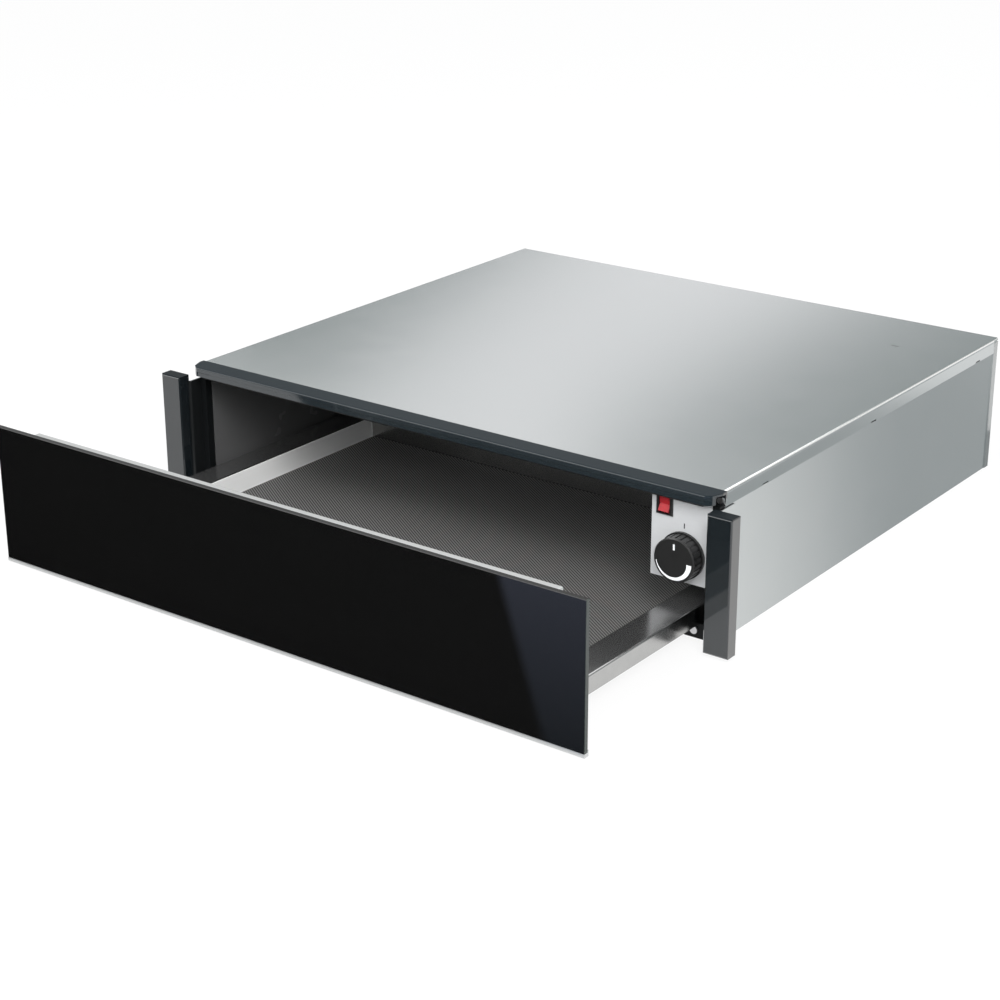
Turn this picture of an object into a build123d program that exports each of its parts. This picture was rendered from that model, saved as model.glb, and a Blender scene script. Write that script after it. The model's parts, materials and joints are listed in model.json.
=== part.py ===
from build123d import *
from math import cos, radians, sin
import os

# Built-in warming drawer for a 60 cm cabinet niche, in millimetres.
# X runs to the right seen from the front, Y runs back into the niche and Z runs up.
# The origin is the middle of the casing's underside, which rests on the niche floor.
# The drawer is modelled partly open.

# ---------------------------------------------------------------- casing
casing_width = 548.0          # over the cover's side flanges
casing_depth = 488.0
sheet = 0.8                   # casing and liner sheet
sheet_bend = 1.4              # outer radius of a plain fold
cover_bend = 2.5              # outer radius along the cover's sides
cover_flange = 13.0           # how far the cover reaches down the sides
side_flange = 11.5            # inward folds of the side panels
roof_overlap = 3.0            # roof fold down the side wall
base_flange = 12.0            # upward folds of the base
rear_return = 9.0             # how far the rear panel wraps round the sides
slit_length = 8.0             # relief slits along the cover's lower edge
slit_height = 1.2
slit_places = (60.0, 241.0, 445.0)   # from the casing's front edge
fold_relief = 0.2             # between the cover and the rear returns

# ---------------------------------------------------------------- front of the casing
cabinet_setback = 19.0        # cabinet front plane to the casing's front edge
surround_depth = 7.0
surround_sheet = 1.0
opening_margin = 7.0          # casing side to the opening
opening_height = 115.0        # underside of the trim's seal above the niche floor
seal_height = 3.3             # opening to the trim
sill_height = 7.5             # black sill under the drawer pan
sill_step_height = 13.8       # the sill beside the slides
rail_flange = 20.0
rail_foot = 14.0
trim_height = 8.4
trim_nose = 7.0               # depth of the trim's front block
trim_top = 2.2                # thickness of the trim's rear flange
trim_leg = 3.4
trim_leg_wall = 1.8
trim_overhang = 1.0           # trim end beyond the casing side
trim_end_chamfer = (9.0, 14.0)       # along X and along Y
trim_end_knee = (5.2, 3.9)           # where the end turns steeper, from the front corner
trim_groove = 0.5
trim_edge = 1.4
seal_depth = 6.0
seal_setback = 4.0
seal_side_gap = 12.0
seal_gap = 0.2                # seal to the opening
seal_chamfer = 1.2

# ---------------------------------------------------------------- posts and their ears
post_gap = 2.0                # casing side to post
post_width = 22.5
post_depth = 12.0
post_trim_gap = 0.3           # post's top below the trim
post_bottom = 2.5
post_wall = 2.0
post_chamfer = 1.2
ear_sheet = 1.5
ear_margin = 5.5              # ear shorter than the post at each end
ear_back = 32.0               # ear web behind the cabinet front plane
ear_hole_radius = 2.25
ear_hole_spacing = 70.0
ear_bend = 2.0
ear_fit = 0.4                 # ear inside the post
ear_screw_setback = 7.0       # casing front edge to the screws
slot_fit = 0.2
post_rib = 1.5
post_rib_margin = 8.0

# ---------------------------------------------------------------- liner and rear compartment
insulation_gap = 1.0          # insulation to the front rail
insulation_margin = 6.0
liner_foot = 3.4
ceiling_overlap = 4.0         # ceiling beyond the liner walls
compartment_depth = 96.0
insulation_thickness = 8.0
fan_tip_gap = 3.75            # impeller to the element's sheath
fan_depth = 18.0
fan_gap = 5.0                 # baffle to impeller
fan_blades = 14
blade_root = 24.0             # blade's inner end from the axis
blade_sheet = 0.8
blade_lean = 28.0
disc_sheet = 1.0
hub_radius = 6.0
hub_setback = 4.0
baffle_flange = 10.0
grille_rings = ((13.0, 6), (26.0, 12))   # ring radius and hole count
grille_hole_radius = 4.2
outlet_slot = (6.0, 50.0)
outlet_pitch = 14.0
outlet_count = 8
outlet_margin = 20.0
element_margin = 10.5         # opening's top and bottom to the ring's centre line
element_tube = 3.25           # radius of the sheath
element_bend = 7.0
element_gap_angle = 50.0      # opening of the ring
element_leg = 14.0            # leg beyond the motor plate's front
motor_plate_gap = 28.0        # baffle to motor plate
motor_plate_width = 190.0
plate_foot = 10.0
plate_margin = 2.0
plate_hole_radius = 5.0
motor_size = (58.0, 16.0, 62.0)
motor_standoff = 12.0         # motor plate to the stack
limb_height = 6.0             # lower limb that carries the coil
window_height = 10.0
coil_build = 8.0
coil_width = 17.0
coil_corner = 3.0
coil_side_gap = 0.5
stack_chamfer = 3.0
limb_share = 0.6              # part of the stack below the shaft
boss_radius = 8.0
rear_boss = 10.0
strap_thickness = 3.0
strap_height = 16.0
strap_width = 46.0
shaft_start = 3.0             # into the hub
shaft_tail = 7.5              # beyond the stack
motor_shaft_radius = 2.0
running_clearance = 0.05
vent_slot = (4.0, 30.0)
vent_pitch = 9.0
vent_count = 9
vent_margin = 30.0            # motor plate side to the first vent
cutout_radius = 8.0
cutout_height = 7.0
cutout_inset = 22.0
cutout_tab = (24.0, 8.0)
cutout_pin = (0.8, 6.0, 7.5)
cutout_pin_spacing = 8.0
terminal_size = (36.0, 16.0, 22.0)
terminal_offset = 46.0        # from the cable inlet
terminal_pitch = 11.0
terminal_hole_radius = 3.2
terminal_hole_depth = 8.0
terminal_count = 3
inlet_radius = 4.0            # bore of the cable inlet
inlet_length = 14.0
inlet_flange = 9.5
inlet_flange_thickness = 2.0
inlet_wall = 1.8
inlet_snap_gap = 0.2
inlet_reach = 11.0            # bushing inside the casing
inlet_margin = 22.0           # last vent to the inlet
inlet_level = 30.0

# ---------------------------------------------------------------- drawer front
glass_thickness = 4.0
glass_top_inset = 4.2         # glass top below the casing's top
strip_height = 3.1
front_bottom = 1.0            # underside of the strip above the niche floor
frame_inset = 31.5            # glass side to frame side
frame_top_inset = 4.5         # glass top to frame top
frame_bottom_inset = 2.0
frame_depth = 13.5
frame_sheet = 1.0
frame_corner = 1.5
glass_edge = 0.5
strip_leg = (1.2, 1.6)        # thickness and height behind the glass
closed_gap = 4.0              # glass to posts when the drawer is shut
buffer_radius = 4.0
buffer_height = 1.0
buffer_inset = 15.0           # from the post's ends

# ---------------------------------------------------------------- drawer pan
pan_opening_gap = 6.6         # pan rim to the opening's side
pan_back_gap = 26.0           # shut pan to the baffle
pan_sill_gap = 1.4            # pan to the sill under it
pan_sheet = 0.8
pan_bend = 1.6
pan_wall = 21.0               # rim to the pan's floor
rim_width = 28.4
lip_height = 15.4
mat_thickness = 1.5
mat_gap = 0.4
mat_corner = 3.0
drawer_travel = 350.0
rest_opening = 184.0          # how far the drawer stands open here

# ---------------------------------------------------------------- telescopic slides
slide_back_gap = 20.0         # fixed member to the baffle
slide_sill_gap = 0.94         # middle member to the sill under it
slide_rim_gap = 0.9           # fixed member to the pan rim over it
slide_depth = 12.0
slide_sheet = 1.0
slide_web_gap = 0.5
slide_setback = 2.0           # casing front edge to the fixed member
slide_lead = 16.0             # inner member ahead of the fixed one when shut
ball_radius = 1.2
ball_clearance = 0.02
ball_hole_gap = 0.1           # ball to its hole in the strip
balls_per_row = 3
cage_strip = (5.0, 1.0)
cage_margin = 12.0
cage_room = 81.0              # members' overlap at full travel, less the cage
bracket_sheet = 1.2
bracket_foot = 16.0
bracket_tab_height = 11.0
bracket_bend = 1.8
slide_bend = 1.3

# ---------------------------------------------------------------- controls
panel_width = 54.4
panel_height = 69.5
panel_side_gap = 0.6
panel_thickness = 1.0
control_box_depth = 82.0
control_box_gap = 0.4         # box to the panel's edge
knob_offset = 30.0            # panel's free edge to the knob axis
knob_drop = 46.7              # panel's top to the knob axis
knob_radius = 18.5
knob_depth = 14.0
knob_gap = 0.5
knob_skirt_radius = 19.5
knob_skirt_depth = 2.4
knob_rib_count = 24
knob_rib_cut = (1.5, 0.8)
knob_edge = 0.9
knob_rib_margin = 1.6         # plain band before the ribs
knob_relief = 1.5
knob_relief_gap = 0.4
shaft_flat = 1.6              # flat from the axis
bush_gap = 0.2
thermostat_corner = 3.0
thermostat_bore = 14.4        # depth of the shaft's bore in the body
shaft_reach = 12.0            # shaft's end in the body
shaft_radius = 3.0
shaft_insert = 11.0
thermostat_size = (34.0, 24.0, 42.0)
bush_radius = 4.75
bush_length = 4.0
rocker_offset = 12.0          # panel's free edge to the middle of the rocker
rocker_drop = 8.4             # panel's top to the middle of the rocker
rocker_size = (15.0, 16.8)
rocker_rim = 1.5              # bezel proud of the panel
rocker_depth = 18.0
rocker_key_width = 9.4
rocker_key_radius = 7.1
rocker_key_dish = 1.2
rocker_key_gap = 0.3
rocker_pivot_depth = 2.0
rocker_pin_radius = 0.9
rocker_tilt = 9.0             # key at rest, upper half pressed
rocker_side_lap = 1.0         # bezel over the panel's cut-out
rocker_end_lap = 0.5
rocker_snap = 0.1
rocker_edge = 0.5
rocker_well = 8.5             # behind the pivot
rocker_key_tip = 0.9          # key ends proud of the bezel
rocker_key_back = 4.0
rocker_pin_reach = 0.7

# ---------------------------------------------------------------- latch
latch_size = (26.0, 18.0, 20.0)
latch_level = 22.0
striker_size = (18.0, 2.0, 14.0)
plunger_radius = 4.0
plunger_gap = 0.3
plunger_travel = 8.0
plunger_edge = 1.2
plunger_bore_gap = 0.1
latch_wall = 2.0              # behind the plunger's bore
latch_corner = 2.5

# ---------------------------------------------------------------- fasteners
screw_shank = 1.9
screw_head = 3.4
screw_head_height = 1.8
sheet_screw = 4.0             # length under the head
ear_screw_bite = 2.5
surround_screw_bite = 1.5
flange_screw_head = 2.8
screw_clearance = 0.15
head_sides = 10               # small round pieces that repeat are many-sided
shank_sides = 6
ball_sides = 6
tube_sides = 6
grille_sides = 6
buffer_sides = 12
touch_gap = 0.3
surround_screw_inset = 6.2    # from the rim's outer face
flange_screw_inset = 3.7
rear_screw_margin = 20.0
frame_screw_inset = 30.0
frame_screw_spread = 77.0     # inner pair from the middle
through = 1.0                 # extra length of a cutting shape
cut_margin = 0.02             # extra depth of a cut beside a face

# ---------------------------------------------------------------- derived places
casing_height = opening_height + seal_height + trim_height
casing_front = -casing_depth / 2
casing_back = casing_depth / 2
cabinet_front = casing_front - cabinet_setback
surround_front = casing_front - surround_depth
casing_side = casing_width / 2
side_outer = casing_side - sheet
side_inner = side_outer - sheet
cover_underside = casing_height - sheet
opening_side = casing_side - opening_margin

post_inner = casing_side + post_gap
post_outer = post_inner + post_width
post_middle = (post_inner + post_outer) / 2
post_height = casing_height - trim_height - post_trim_gap - post_bottom
post_centre_level = post_bottom + post_height / 2

baffle_front = casing_back - compartment_depth
fan_front = baffle_front + sheet + fan_gap
motor_plate_front = baffle_front + sheet + motor_plate_gap
fan_level = opening_height / 2
element_radius = fan_level - element_margin
fan_radius = element_radius - element_tube - fan_tip_gap
motor_front = motor_plate_front + sheet + motor_standoff
liner_front = casing_front + sheet + touch_gap
liner_length = baffle_front - touch_gap - liner_front
inlet_x = -(motor_plate_width / 2 + vent_margin + vent_count * vent_pitch + inlet_margin)

closed_glass_back = cabinet_front - post_depth - closed_gap
glass_back = closed_glass_back - rest_opening
glass_bottom = front_bottom + strip_height
glass_height = casing_height - glass_top_inset - glass_bottom
frame_side = post_outer - frame_inset
frame_web_back = glass_back + frame_sheet

rim_side = opening_side - pan_opening_gap
pan_side = rim_side - rim_width
pan_floor = sill_height + pan_sill_gap + pan_sheet
pan_rim_height = pan_floor + pan_wall
pan_front = frame_web_back
pan_back = baffle_front - pan_back_gap - rest_opening
pan_depth = pan_back - pan_front

slide_fixed_front = casing_front + slide_setback
slide_length = baffle_front - slide_back_gap - slide_fixed_front
slide_side = pan_side + pan_sheet + slide_depth
slide_inner_front = slide_fixed_front - slide_lead - rest_opening
slide_middle_front = slide_fixed_front - rest_opening / 2
slide_flange_tip = slide_side - slide_depth + 2 * slide_sheet
ball_gap = 2 * (ball_radius + ball_clearance)
slide_bottom = sill_height + slide_sill_gap - slide_sheet - ball_gap
slide_top = pan_rim_height - pan_sheet - slide_rim_gap
slide_height = slide_top - slide_bottom
slide_level = (slide_bottom + slide_top) / 2
middle_height = slide_height - 2 * (slide_sheet + ball_gap)
inner_height = middle_height - 2 * (slide_sheet + ball_gap)
cage_length = slide_length - drawer_travel / 2 - cage_room
ball_pitch = (cage_length - 2 * cage_margin) / (balls_per_row - 1)

panel_right = opening_side - panel_side_gap
panel_left = panel_right - panel_width
panel_top = opening_height - touch_gap
panel_bottom = panel_top - panel_height
knob_level = panel_top - knob_drop
rocker_level = panel_top - rocker_drop
knob_x = panel_left + knob_offset
rocker_x = panel_left + rocker_offset
rocker_pivot = surround_front + rocker_pivot_depth

latch_front = baffle_front - latch_size[1]
closed_striker_back = pan_back + striker_size[1] + rest_opening


# ---------------------------------------------------------------- shared shapes
def block(x, y, z):
    """Box between a pair of limits on each axis."""
    middle = [(low + high) / 2 for low, high in (x, y, z)]
    return Pos(*middle) * Box(x[1] - x[0], y[1] - y[0], z[1] - z[0])


def rod(start, direction, radius, length):
    """Round bar from a start point."""
    return extrude(Plane(start, z_dir=direction) * Circle(radius), amount=length)


def many_sided_rod(start, direction, radius, length, sides):
    """Bar whose section is a regular polygon with its corners on the radius."""
    return extrude(Plane(start, z_dir=direction) * RegularPolygon(radius, sides), amount=length)


def prism(plane, points, length):
    """Closed outline pushed along its plane's positive world axis."""
    outline = plane * make_face(Polyline(*points, close=True))
    return extrude(outline, amount=length, dir=along(plane))


def folded(plane, points, length, thickness=sheet, bend=sheet_bend, side=Side.LEFT):
    """Sheet that follows an open outline, with rounded folds."""
    outline = offset(FilletPolyline(*points, radius=bend), thickness, side=side)
    return extrude(plane * make_face(outline), amount=length, dir=along(plane))


def along(plane):
    """Positive world axis square to a plane."""
    return Vector(*(abs(value) for value in plane.z_dir))


def at_x(x):
    """Y-Z plane at a given X."""
    return Plane.YZ.offset(x)


def at_y(y):
    """X-Z plane at a given Y."""
    return Plane.XZ.offset(-y)


def at_z(z):
    """X-Y plane at a given Z."""
    return Plane.XY.offset(z)


def mirrored(part):
    """The same piece on the other side of the drawer."""
    return mirror(part, about=Plane.YZ)


def screw(seat, direction, length, head_radius=screw_head):
    """Pan-head screw: the seat is the face under the head, the direction is the way it is driven."""
    shank = many_sided_rod(seat, direction, screw_shank, length, shank_sides)
    head_seat = Vector(*seat) - Vector(*direction) * screw_head_height
    return shank + many_sided_rod(head_seat, direction, head_radius, screw_head_height, head_sides)


def screw_hole(seat, direction, length):
    """Clearance for a screw's shank, through both faces."""
    start = Vector(*seat) - Vector(*direction) * length
    corner = (screw_shank + screw_clearance) / cos(radians(180 / shank_sides))
    return many_sided_rod(start, direction, corner, 2 * length, shank_sides)


def through_hole(x, front, z, radius, thickness=sheet):
    """Round hole along Y through a wall whose front face is given."""
    return rod((x, front - through, z), (0, 1, 0), radius, thickness + 2 * through)


def upright_slot(x, front, z, size):
    """Upright slot along Y through a sheet whose front face is given."""
    width, height = size
    return block((x - width / 2, x + width / 2), (front - through, front + sheet + through),
                 (z - height / 2, z + height / 2))


def ball(x, y, z):
    """Many-sided ball: flat facets between rings of corners on its sphere."""
    rings = []
    for turn in (-60, 0, 60):
        angle = radians(turn)
        ring = Plane((x, y, z + ball_radius * sin(angle))) * RegularPolygon(ball_radius * cos(angle), ball_sides)
        rings.append(ring)
    return loft(rings, ruled=True)


def group(solids):
    """Identical loose pieces kept together."""
    return Compound(children=[part.solid() for part in solids])


# ---------------------------------------------------------------- places that several pieces share
surround_screw_x = rim_side - surround_screw_inset
surround_screw_z = sill_height + touch_gap
surround_screw_seats = [(sign * surround_screw_x, surround_front, surround_screw_z) for sign in (-1, 1)]
flange_screw_x = side_outer - flange_screw_inset
flange_screw_z = opening_height + flange_screw_head + touch_gap
flange_screw_seats = [(sign * flange_screw_x, casing_front, flange_screw_z) for sign in (-1, 1)]
ear_screw_y = casing_front + ear_screw_setback
ear_levels = [post_centre_level + sign * ear_hole_spacing / 2 for sign in (-1, 1)]
rear_screw_seats = [
    (sign * (side_inner - side_flange / 2), casing_back, level)
    for sign in (-1, 1) for level in (rear_screw_margin, casing_height / 2, casing_height - rear_screw_margin)
]
frame_screw_seats = [
    (sign * reach, pan_front + pan_sheet, pan_floor + pan_wall / 2)
    for sign in (-1, 1) for reach in (pan_side - frame_screw_inset, frame_screw_spread)
]
slit_ys = [casing_front + place for place in slit_places]


# ---------------------------------------------------------------- casing
def make_base_panel():
    section = [
        (-side_inner, base_flange), (-side_inner, 0), (side_inner, 0), (side_inner, base_flange),
    ]
    floor = folded(at_y(casing_front), section, casing_depth - sheet)
    sill_wall = block((-side_inner + sheet_bend, side_inner - sheet_bend),
                      (casing_front, casing_front + sheet), (0, sill_height - surround_sheet))
    back_wall = block((-side_inner + sheet_bend, side_inner - sheet_bend),
                      (casing_back - 2 * sheet, casing_back - sheet), (0, base_flange))
    base = floor + sill_wall + back_wall
    for seat in surround_screw_seats:
        base -= screw_hole(seat, (0, 1, 0), surround_depth + 2 * sheet)
    return base


def make_side_panel_right():
    plan = [
        (side_outer - side_flange, casing_front), (side_outer, casing_front),
        (side_outer, casing_back - sheet), (side_outer - side_flange, casing_back - sheet),
    ]
    shoulder = cover_underside - roof_overlap
    wall = folded(at_z(0), plan, shoulder)
    roof_section = [(side_outer, shoulder - sheet), (side_outer, cover_underside),
                    (side_outer - side_flange, cover_underside)]
    roof = folded(at_y(casing_front + sheet_bend), roof_section, casing_depth - sheet - 2 * sheet_bend,
                  bend=cover_bend - sheet)
    panel = wall + roof
    # the base's side fold sits inside, so the front and rear folds start above it
    inner_edge = side_outer - side_flange - through
    panel -= block((inner_edge, side_inner), (casing_front - through, casing_back),
                   (-through, base_flange + touch_gap))
    # beside the opening the front fold is no wider than the liner leaves
    panel -= block((inner_edge, opening_side + touch_gap), (casing_front - through, casing_front + 2 * sheet),
                   (-through, opening_height))
    for level in ear_levels:
        panel -= screw_hole((side_outer, ear_screw_y, level), (-1, 0, 0), sheet_screw)
    panel -= screw_hole((flange_screw_x, casing_front, flange_screw_z), (0, 1, 0), sheet_screw)
    for x, y, level in rear_screw_seats:
        if x > 0:
            panel -= screw_hole((x, y, level), (0, -1, 0), sheet_screw)
    return panel


def make_rear_panel():
    plan = [
        (casing_side, casing_back - rear_return), (casing_side, casing_back),
        (-casing_side, casing_back), (-casing_side, casing_back - rear_return),
    ]
    panel = folded(at_z(0), plan, cover_underside)
    for side in (-1, 1):
        for index in range(vent_count):
            x = side * (motor_plate_width / 2 + vent_margin + index * vent_pitch)
            panel -= upright_slot(x, casing_back - sheet, fan_level, vent_slot)
    inlet_hole = inlet_radius + inlet_wall + inlet_snap_gap
    panel -= through_hole(inlet_x, casing_back - sheet, inlet_level, inlet_hole)
    # top corners cut back for the cover's folds
    for side in (-1, 1):
        span = sorted((side * (casing_side - cover_bend - touch_gap), side * (casing_side + through)))
        panel -= block(span, (casing_back - rear_return - through, casing_back + through),
                       (cover_underside - cover_bend, casing_height))
    for seat in rear_screw_seats:
        panel -= screw_hole(seat, (0, -1, 0), sheet_screw)
    return panel


def make_top_cover():
    edge = casing_height - cover_flange
    section = [(casing_side, edge), (casing_side, casing_height),
               (-casing_side, casing_height), (-casing_side, edge)]
    cover = folded(at_y(casing_front), section, casing_depth, bend=cover_bend)
    # the rear panel's returns take the side flanges' place at the back corners
    for side in (-1, 1):
        span = sorted((side * (side_outer - cut_margin), side * (casing_side + through)))
        cover -= block(span, (casing_back - rear_return - fold_relief, casing_back + through),
                       (edge - through, cover_underside))
        for y in slit_ys:
            cover -= block(span, (y - slit_length / 2, y + slit_length / 2),
                           (edge - through, edge + slit_height))
    return cover


def make_front_rail():
    section = [
        (casing_front + rail_flange, cover_underside), (casing_front, cover_underside),
        (casing_front, opening_height), (casing_front + rail_foot, opening_height),
    ]
    half = side_outer - side_flange - touch_gap
    return folded(at_x(-half), section, 2 * half)


def make_front_trim():
    """Dark profile over the opening, with its ends cut back towards the front."""
    top = casing_height
    bottom = top - trim_height
    front = cabinet_front
    back = casing_front
    middle = (top + bottom) / 2
    section = [
        (front, top), (front, middle),
        (front + trim_groove, middle - trim_groove), (front + trim_groove, bottom),
        (front + trim_nose, bottom), (front + trim_nose, top - trim_top),
        (back - trim_leg_wall, top - trim_top), (back - trim_leg_wall, top - trim_top - trim_leg),
        (back, top - trim_top - trim_leg), (back, top),
    ]
    half = casing_side + trim_overhang
    trim = prism(at_x(-half), section, 2 * half)
    nose_edge = trim.edges().filter_by(Axis.X).group_by(Axis.Z)[-1].sort_by(Axis.Y)[0]
    trim = fillet(nose_edge, trim_edge)
    cut_x, cut_y = trim_end_chamfer
    knee = (half - cut_x + trim_end_knee[0], front + trim_end_knee[1])
    corner = [(half - cut_x, front - through), (half - cut_x, front), knee, (half, front + cut_y),
              (half + through, front + cut_y), (half + through, front - through)]
    wedge = prism(at_z(bottom - through), corner, trim_height + 2 * through)
    return trim - wedge - mirrored(wedge)


def make_trim_gasket():
    half = casing_side - seal_side_gap
    y = cabinet_front + seal_setback
    top = casing_height - trim_height
    base = opening_height + seal_gap
    back = y + seal_depth
    section = [(y, top), (y, base + seal_chamfer), (y + seal_chamfer, base),
               (back - seal_chamfer, base), (back, base + seal_chamfer), (back, top)]
    return prism(at_x(-half), section, 2 * half)


def make_front_surround():
    """Black tray-shaped frame on three sides of the opening."""
    step = slide_side + bracket_sheet + touch_gap
    outline = [
        (-side_outer, sheet), (side_outer, sheet),
        (side_outer, opening_height), (opening_side, opening_height),
        (opening_side, sill_step_height), (step, sill_step_height), (step, sill_height),
        (-step, sill_height), (-step, sill_step_height), (-opening_side, sill_step_height),
        (-opening_side, opening_height), (-side_outer, opening_height),
    ]
    surround = prism(at_y(surround_front), outline, surround_depth)
    face = at_y(surround_front + surround_sheet) * make_face(Polyline(*outline, close=True))
    surround -= extrude(offset(face, -surround_sheet), amount=surround_depth, dir=(0, 1, 0))
    for seat in surround_screw_seats:
        surround -= screw_hole(seat, (0, 1, 0), sheet_screw)
    return surround


def make_post_right():
    """Hollow strip over the cabinet edge, open at the back where its ear goes in."""
    x = (post_inner, post_outer)
    y = (cabinet_front - post_depth, cabinet_front)
    z = (post_bottom, post_bottom + post_height)
    post = block(x, y, z)
    front_edges = post.faces().sort_by(Axis.Y)[0].edges()
    post = chamfer(front_edges, post_chamfer)
    post -= block((x[0] + post_wall, x[1] - post_wall), (y[0] + post_wall, y[1] + through),
                  (z[0] + post_wall, z[1] - post_wall))
    # slot in the inner wall for the ear
    post -= block((x[0] - through, x[0] + post_wall + through), (y[1] - ear_sheet, y[1] + through),
                  (z[0] + ear_margin - slot_fit, z[1] - ear_margin + slot_fit))
    # ribs that stop against the ear
    rib_inset = ear_margin + post_rib_margin
    for level in (z[0] + rib_inset, post_centre_level, z[1] - rib_inset):
        post += block((x[0] + post_wall, x[1] - post_wall), (y[0] + post_wall, y[1] - ear_sheet),
                      (level - post_rib / 2, level + post_rib / 2))
    return post


def make_mounting_ear_right():
    """Angle that bears on the cabinet edge and carries the post."""
    plan = [
        (post_outer - post_wall - ear_fit, cabinet_front - ear_sheet),
        (side_outer, cabinet_front - ear_sheet), (side_outer, cabinet_front + ear_back),
    ]
    low = post_bottom + ear_margin
    high = post_bottom + post_height - ear_margin
    ear = folded(at_z(low), plan, high - low, thickness=ear_sheet, bend=ear_bend, side=Side.RIGHT)
    for level in ear_levels:
        ear -= through_hole(post_middle, cabinet_front - ear_sheet, level, ear_hole_radius, ear_sheet)
        ear -= screw_hole((side_outer + ear_sheet, ear_screw_y, level), (-1, 0, 0), sheet_screw)
    return ear


def make_ear_screws():
    length = ear_sheet + sheet + ear_screw_bite
    screws = [screw((side_outer + ear_sheet, ear_screw_y, level), (-1, 0, 0), length) for level in ear_levels]
    return group(screws + [mirrored(part) for part in screws])


def make_surround_screws():
    reach = surround_depth + 2 * sheet + bracket_sheet + surround_screw_bite
    return group([screw(seat, (0, 1, 0), reach) for seat in surround_screw_seats])


def make_flange_screws():
    return group([screw(seat, (0, 1, 0), sheet_screw, flange_screw_head) for seat in flange_screw_seats])


def make_rear_screws():
    return group([screw(seat, (0, -1, 0), sheet_screw) for seat in rear_screw_seats])


# ---------------------------------------------------------------- liner and rear compartment
def make_liner_right():
    """Side wall of the warming space, with a foot on the base."""
    section = [(opening_side + liner_foot, sheet), (opening_side, sheet),
               (opening_side, opening_height - sheet)]
    return folded(at_y(liner_front), section, liner_length, side=Side.RIGHT)


def make_liner_ceiling():
    half = opening_side + ceiling_overlap
    return block((-half, half), (liner_front, liner_front + liner_length),
                 (opening_height - sheet, opening_height))


def make_top_insulation():
    """Mineral mat that lies on the liner's ceiling and on the baffle's top fold."""
    half = opening_side - insulation_margin
    return block((-half, half), (casing_front + rail_flange + insulation_gap, casing_back - 2 * side_flange),
                 (opening_height, opening_height + insulation_thickness))


def make_rear_baffle():
    """Wall behind the drawer: fan grille in the middle, air outlets at both sides."""
    width = side_inner - sheet - sheet_bend
    fold = baffle_front + baffle_flange
    section = [(fold, sheet), (baffle_front, sheet), (baffle_front, opening_height), (fold, opening_height)]
    baffle = folded(at_x(-width), section, 2 * width, side=Side.RIGHT)
    for ring, count in grille_rings:
        for index in range(count):
            angle = radians(360 / count * index)
            x, z = ring * cos(angle), fan_level + ring * sin(angle)
            baffle -= many_sided_rod((x, baffle_front - through, z), (0, 1, 0), grille_hole_radius,
                                     sheet + 2 * through, grille_sides)
    for side in (-1, 1):
        for index in range(outlet_count):
            x = side * (motor_plate_width / 2 + outlet_margin + index * outlet_pitch)
            baffle -= upright_slot(x, baffle_front, fan_level, outlet_slot)
    return baffle


def make_motor_plate():
    half = motor_plate_width / 2
    foot = baffle_front + sheet
    plan = [(-half - plate_foot, foot), (-half, foot), (-half, motor_plate_front),
            (half, motor_plate_front), (half, foot), (half + plate_foot, foot)]
    plate = folded(at_z(sheet + plate_margin), plan, opening_height - 2 * (sheet + plate_margin))
    plate -= through_hole(0, motor_plate_front, fan_level, plate_hole_radius)
    corner = (element_tube + touch_gap) / cos(radians(180 / tube_sides))
    for x, z in element_ends():
        plate -= many_sided_rod((x, motor_plate_front - through, z), (0, 1, 0), corner, sheet + 2 * through, tube_sides)
    return plate


def element_ends():
    """Where the ring's two legs leave it, seen from the front."""
    places = []
    for sign in (-1, 1):
        angle = radians(-90 + sign * element_gap_angle / 2)
        tangent = (sign * sin(angle), -sign * cos(angle))
        places.append((element_radius * cos(angle) + element_bend * tangent[0],
                       fan_level + element_radius * sin(angle) + element_bend * tangent[1]))
    return places


def make_heating_element():
    """Ring round the fan whose ends turn back through the motor plate."""
    y = fan_front + fan_depth / 2
    leg_end = motor_plate_front + element_leg
    lower, upper = -90 + element_gap_angle / 2, 270 - element_gap_angle / 2
    point = {}
    for name, turn in (("start", lower), ("middle", 90), ("end", upper)):
        angle = radians(turn)
        point[name] = Vector(element_radius * cos(angle), y, fan_level + element_radius * sin(angle))
    ring = ThreePointArc(point["start"], point["middle"], point["end"])
    ends = dict(zip(("end", "start"), element_ends()))
    pieces = [ring]
    for name, (x, z) in ends.items():
        corner_end = Vector(x, y + element_bend, z)
        tangent = (Vector(x, y, z) - point[name]).normalized()
        bend = TangentArc(point[name], corner_end, tangent=tangent)
        leg = Line(corner_end, Vector(x, leg_end, z))
        pieces += [bend, leg]
    path = Wire([piece.edge() for piece in pieces])
    start = ends["start"]
    section = Plane((start[0], leg_end, start[1]), z_dir=(0, -1, 0)) * RegularPolygon(element_tube, tube_sides)
    return sweep(section, path=path)


def make_fan_motor():
    """Shaded-pole stack with a bearing bracket on each side of it."""
    width, depth, height = motor_size
    low = fan_level - height * limb_share
    back = motor_front + depth
    stack = block((-width / 2, width / 2), (motor_front, back), (low, low + height))
    stack = chamfer(stack.edges().filter_by(Axis.Y), stack_chamfer)
    window = coil_width / 2 + coil_side_gap
    stack -= block((-window, window), (motor_front - through, back + through),
                   (low + limb_height, low + limb_height + window_height))
    front_boss = (motor_front - motor_standoff, motor_standoff, motor_front - strap_thickness)
    for boss_start, reach, strap in (front_boss, (back, rear_boss, back)):
        stack += rod((0, boss_start, fan_level), (0, 1, 0), boss_radius, reach)
        stack += block((-strap_width / 2, strap_width / 2), (strap, strap + strap_thickness),
                       (fan_level - strap_height / 2, fan_level + strap_height / 2))
    bore_length = motor_standoff + depth + shaft_tail + touch_gap
    return stack - rod((0, motor_front - motor_standoff, fan_level), (0, 1, 0),
                       motor_shaft_radius + running_clearance, bore_length)


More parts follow.
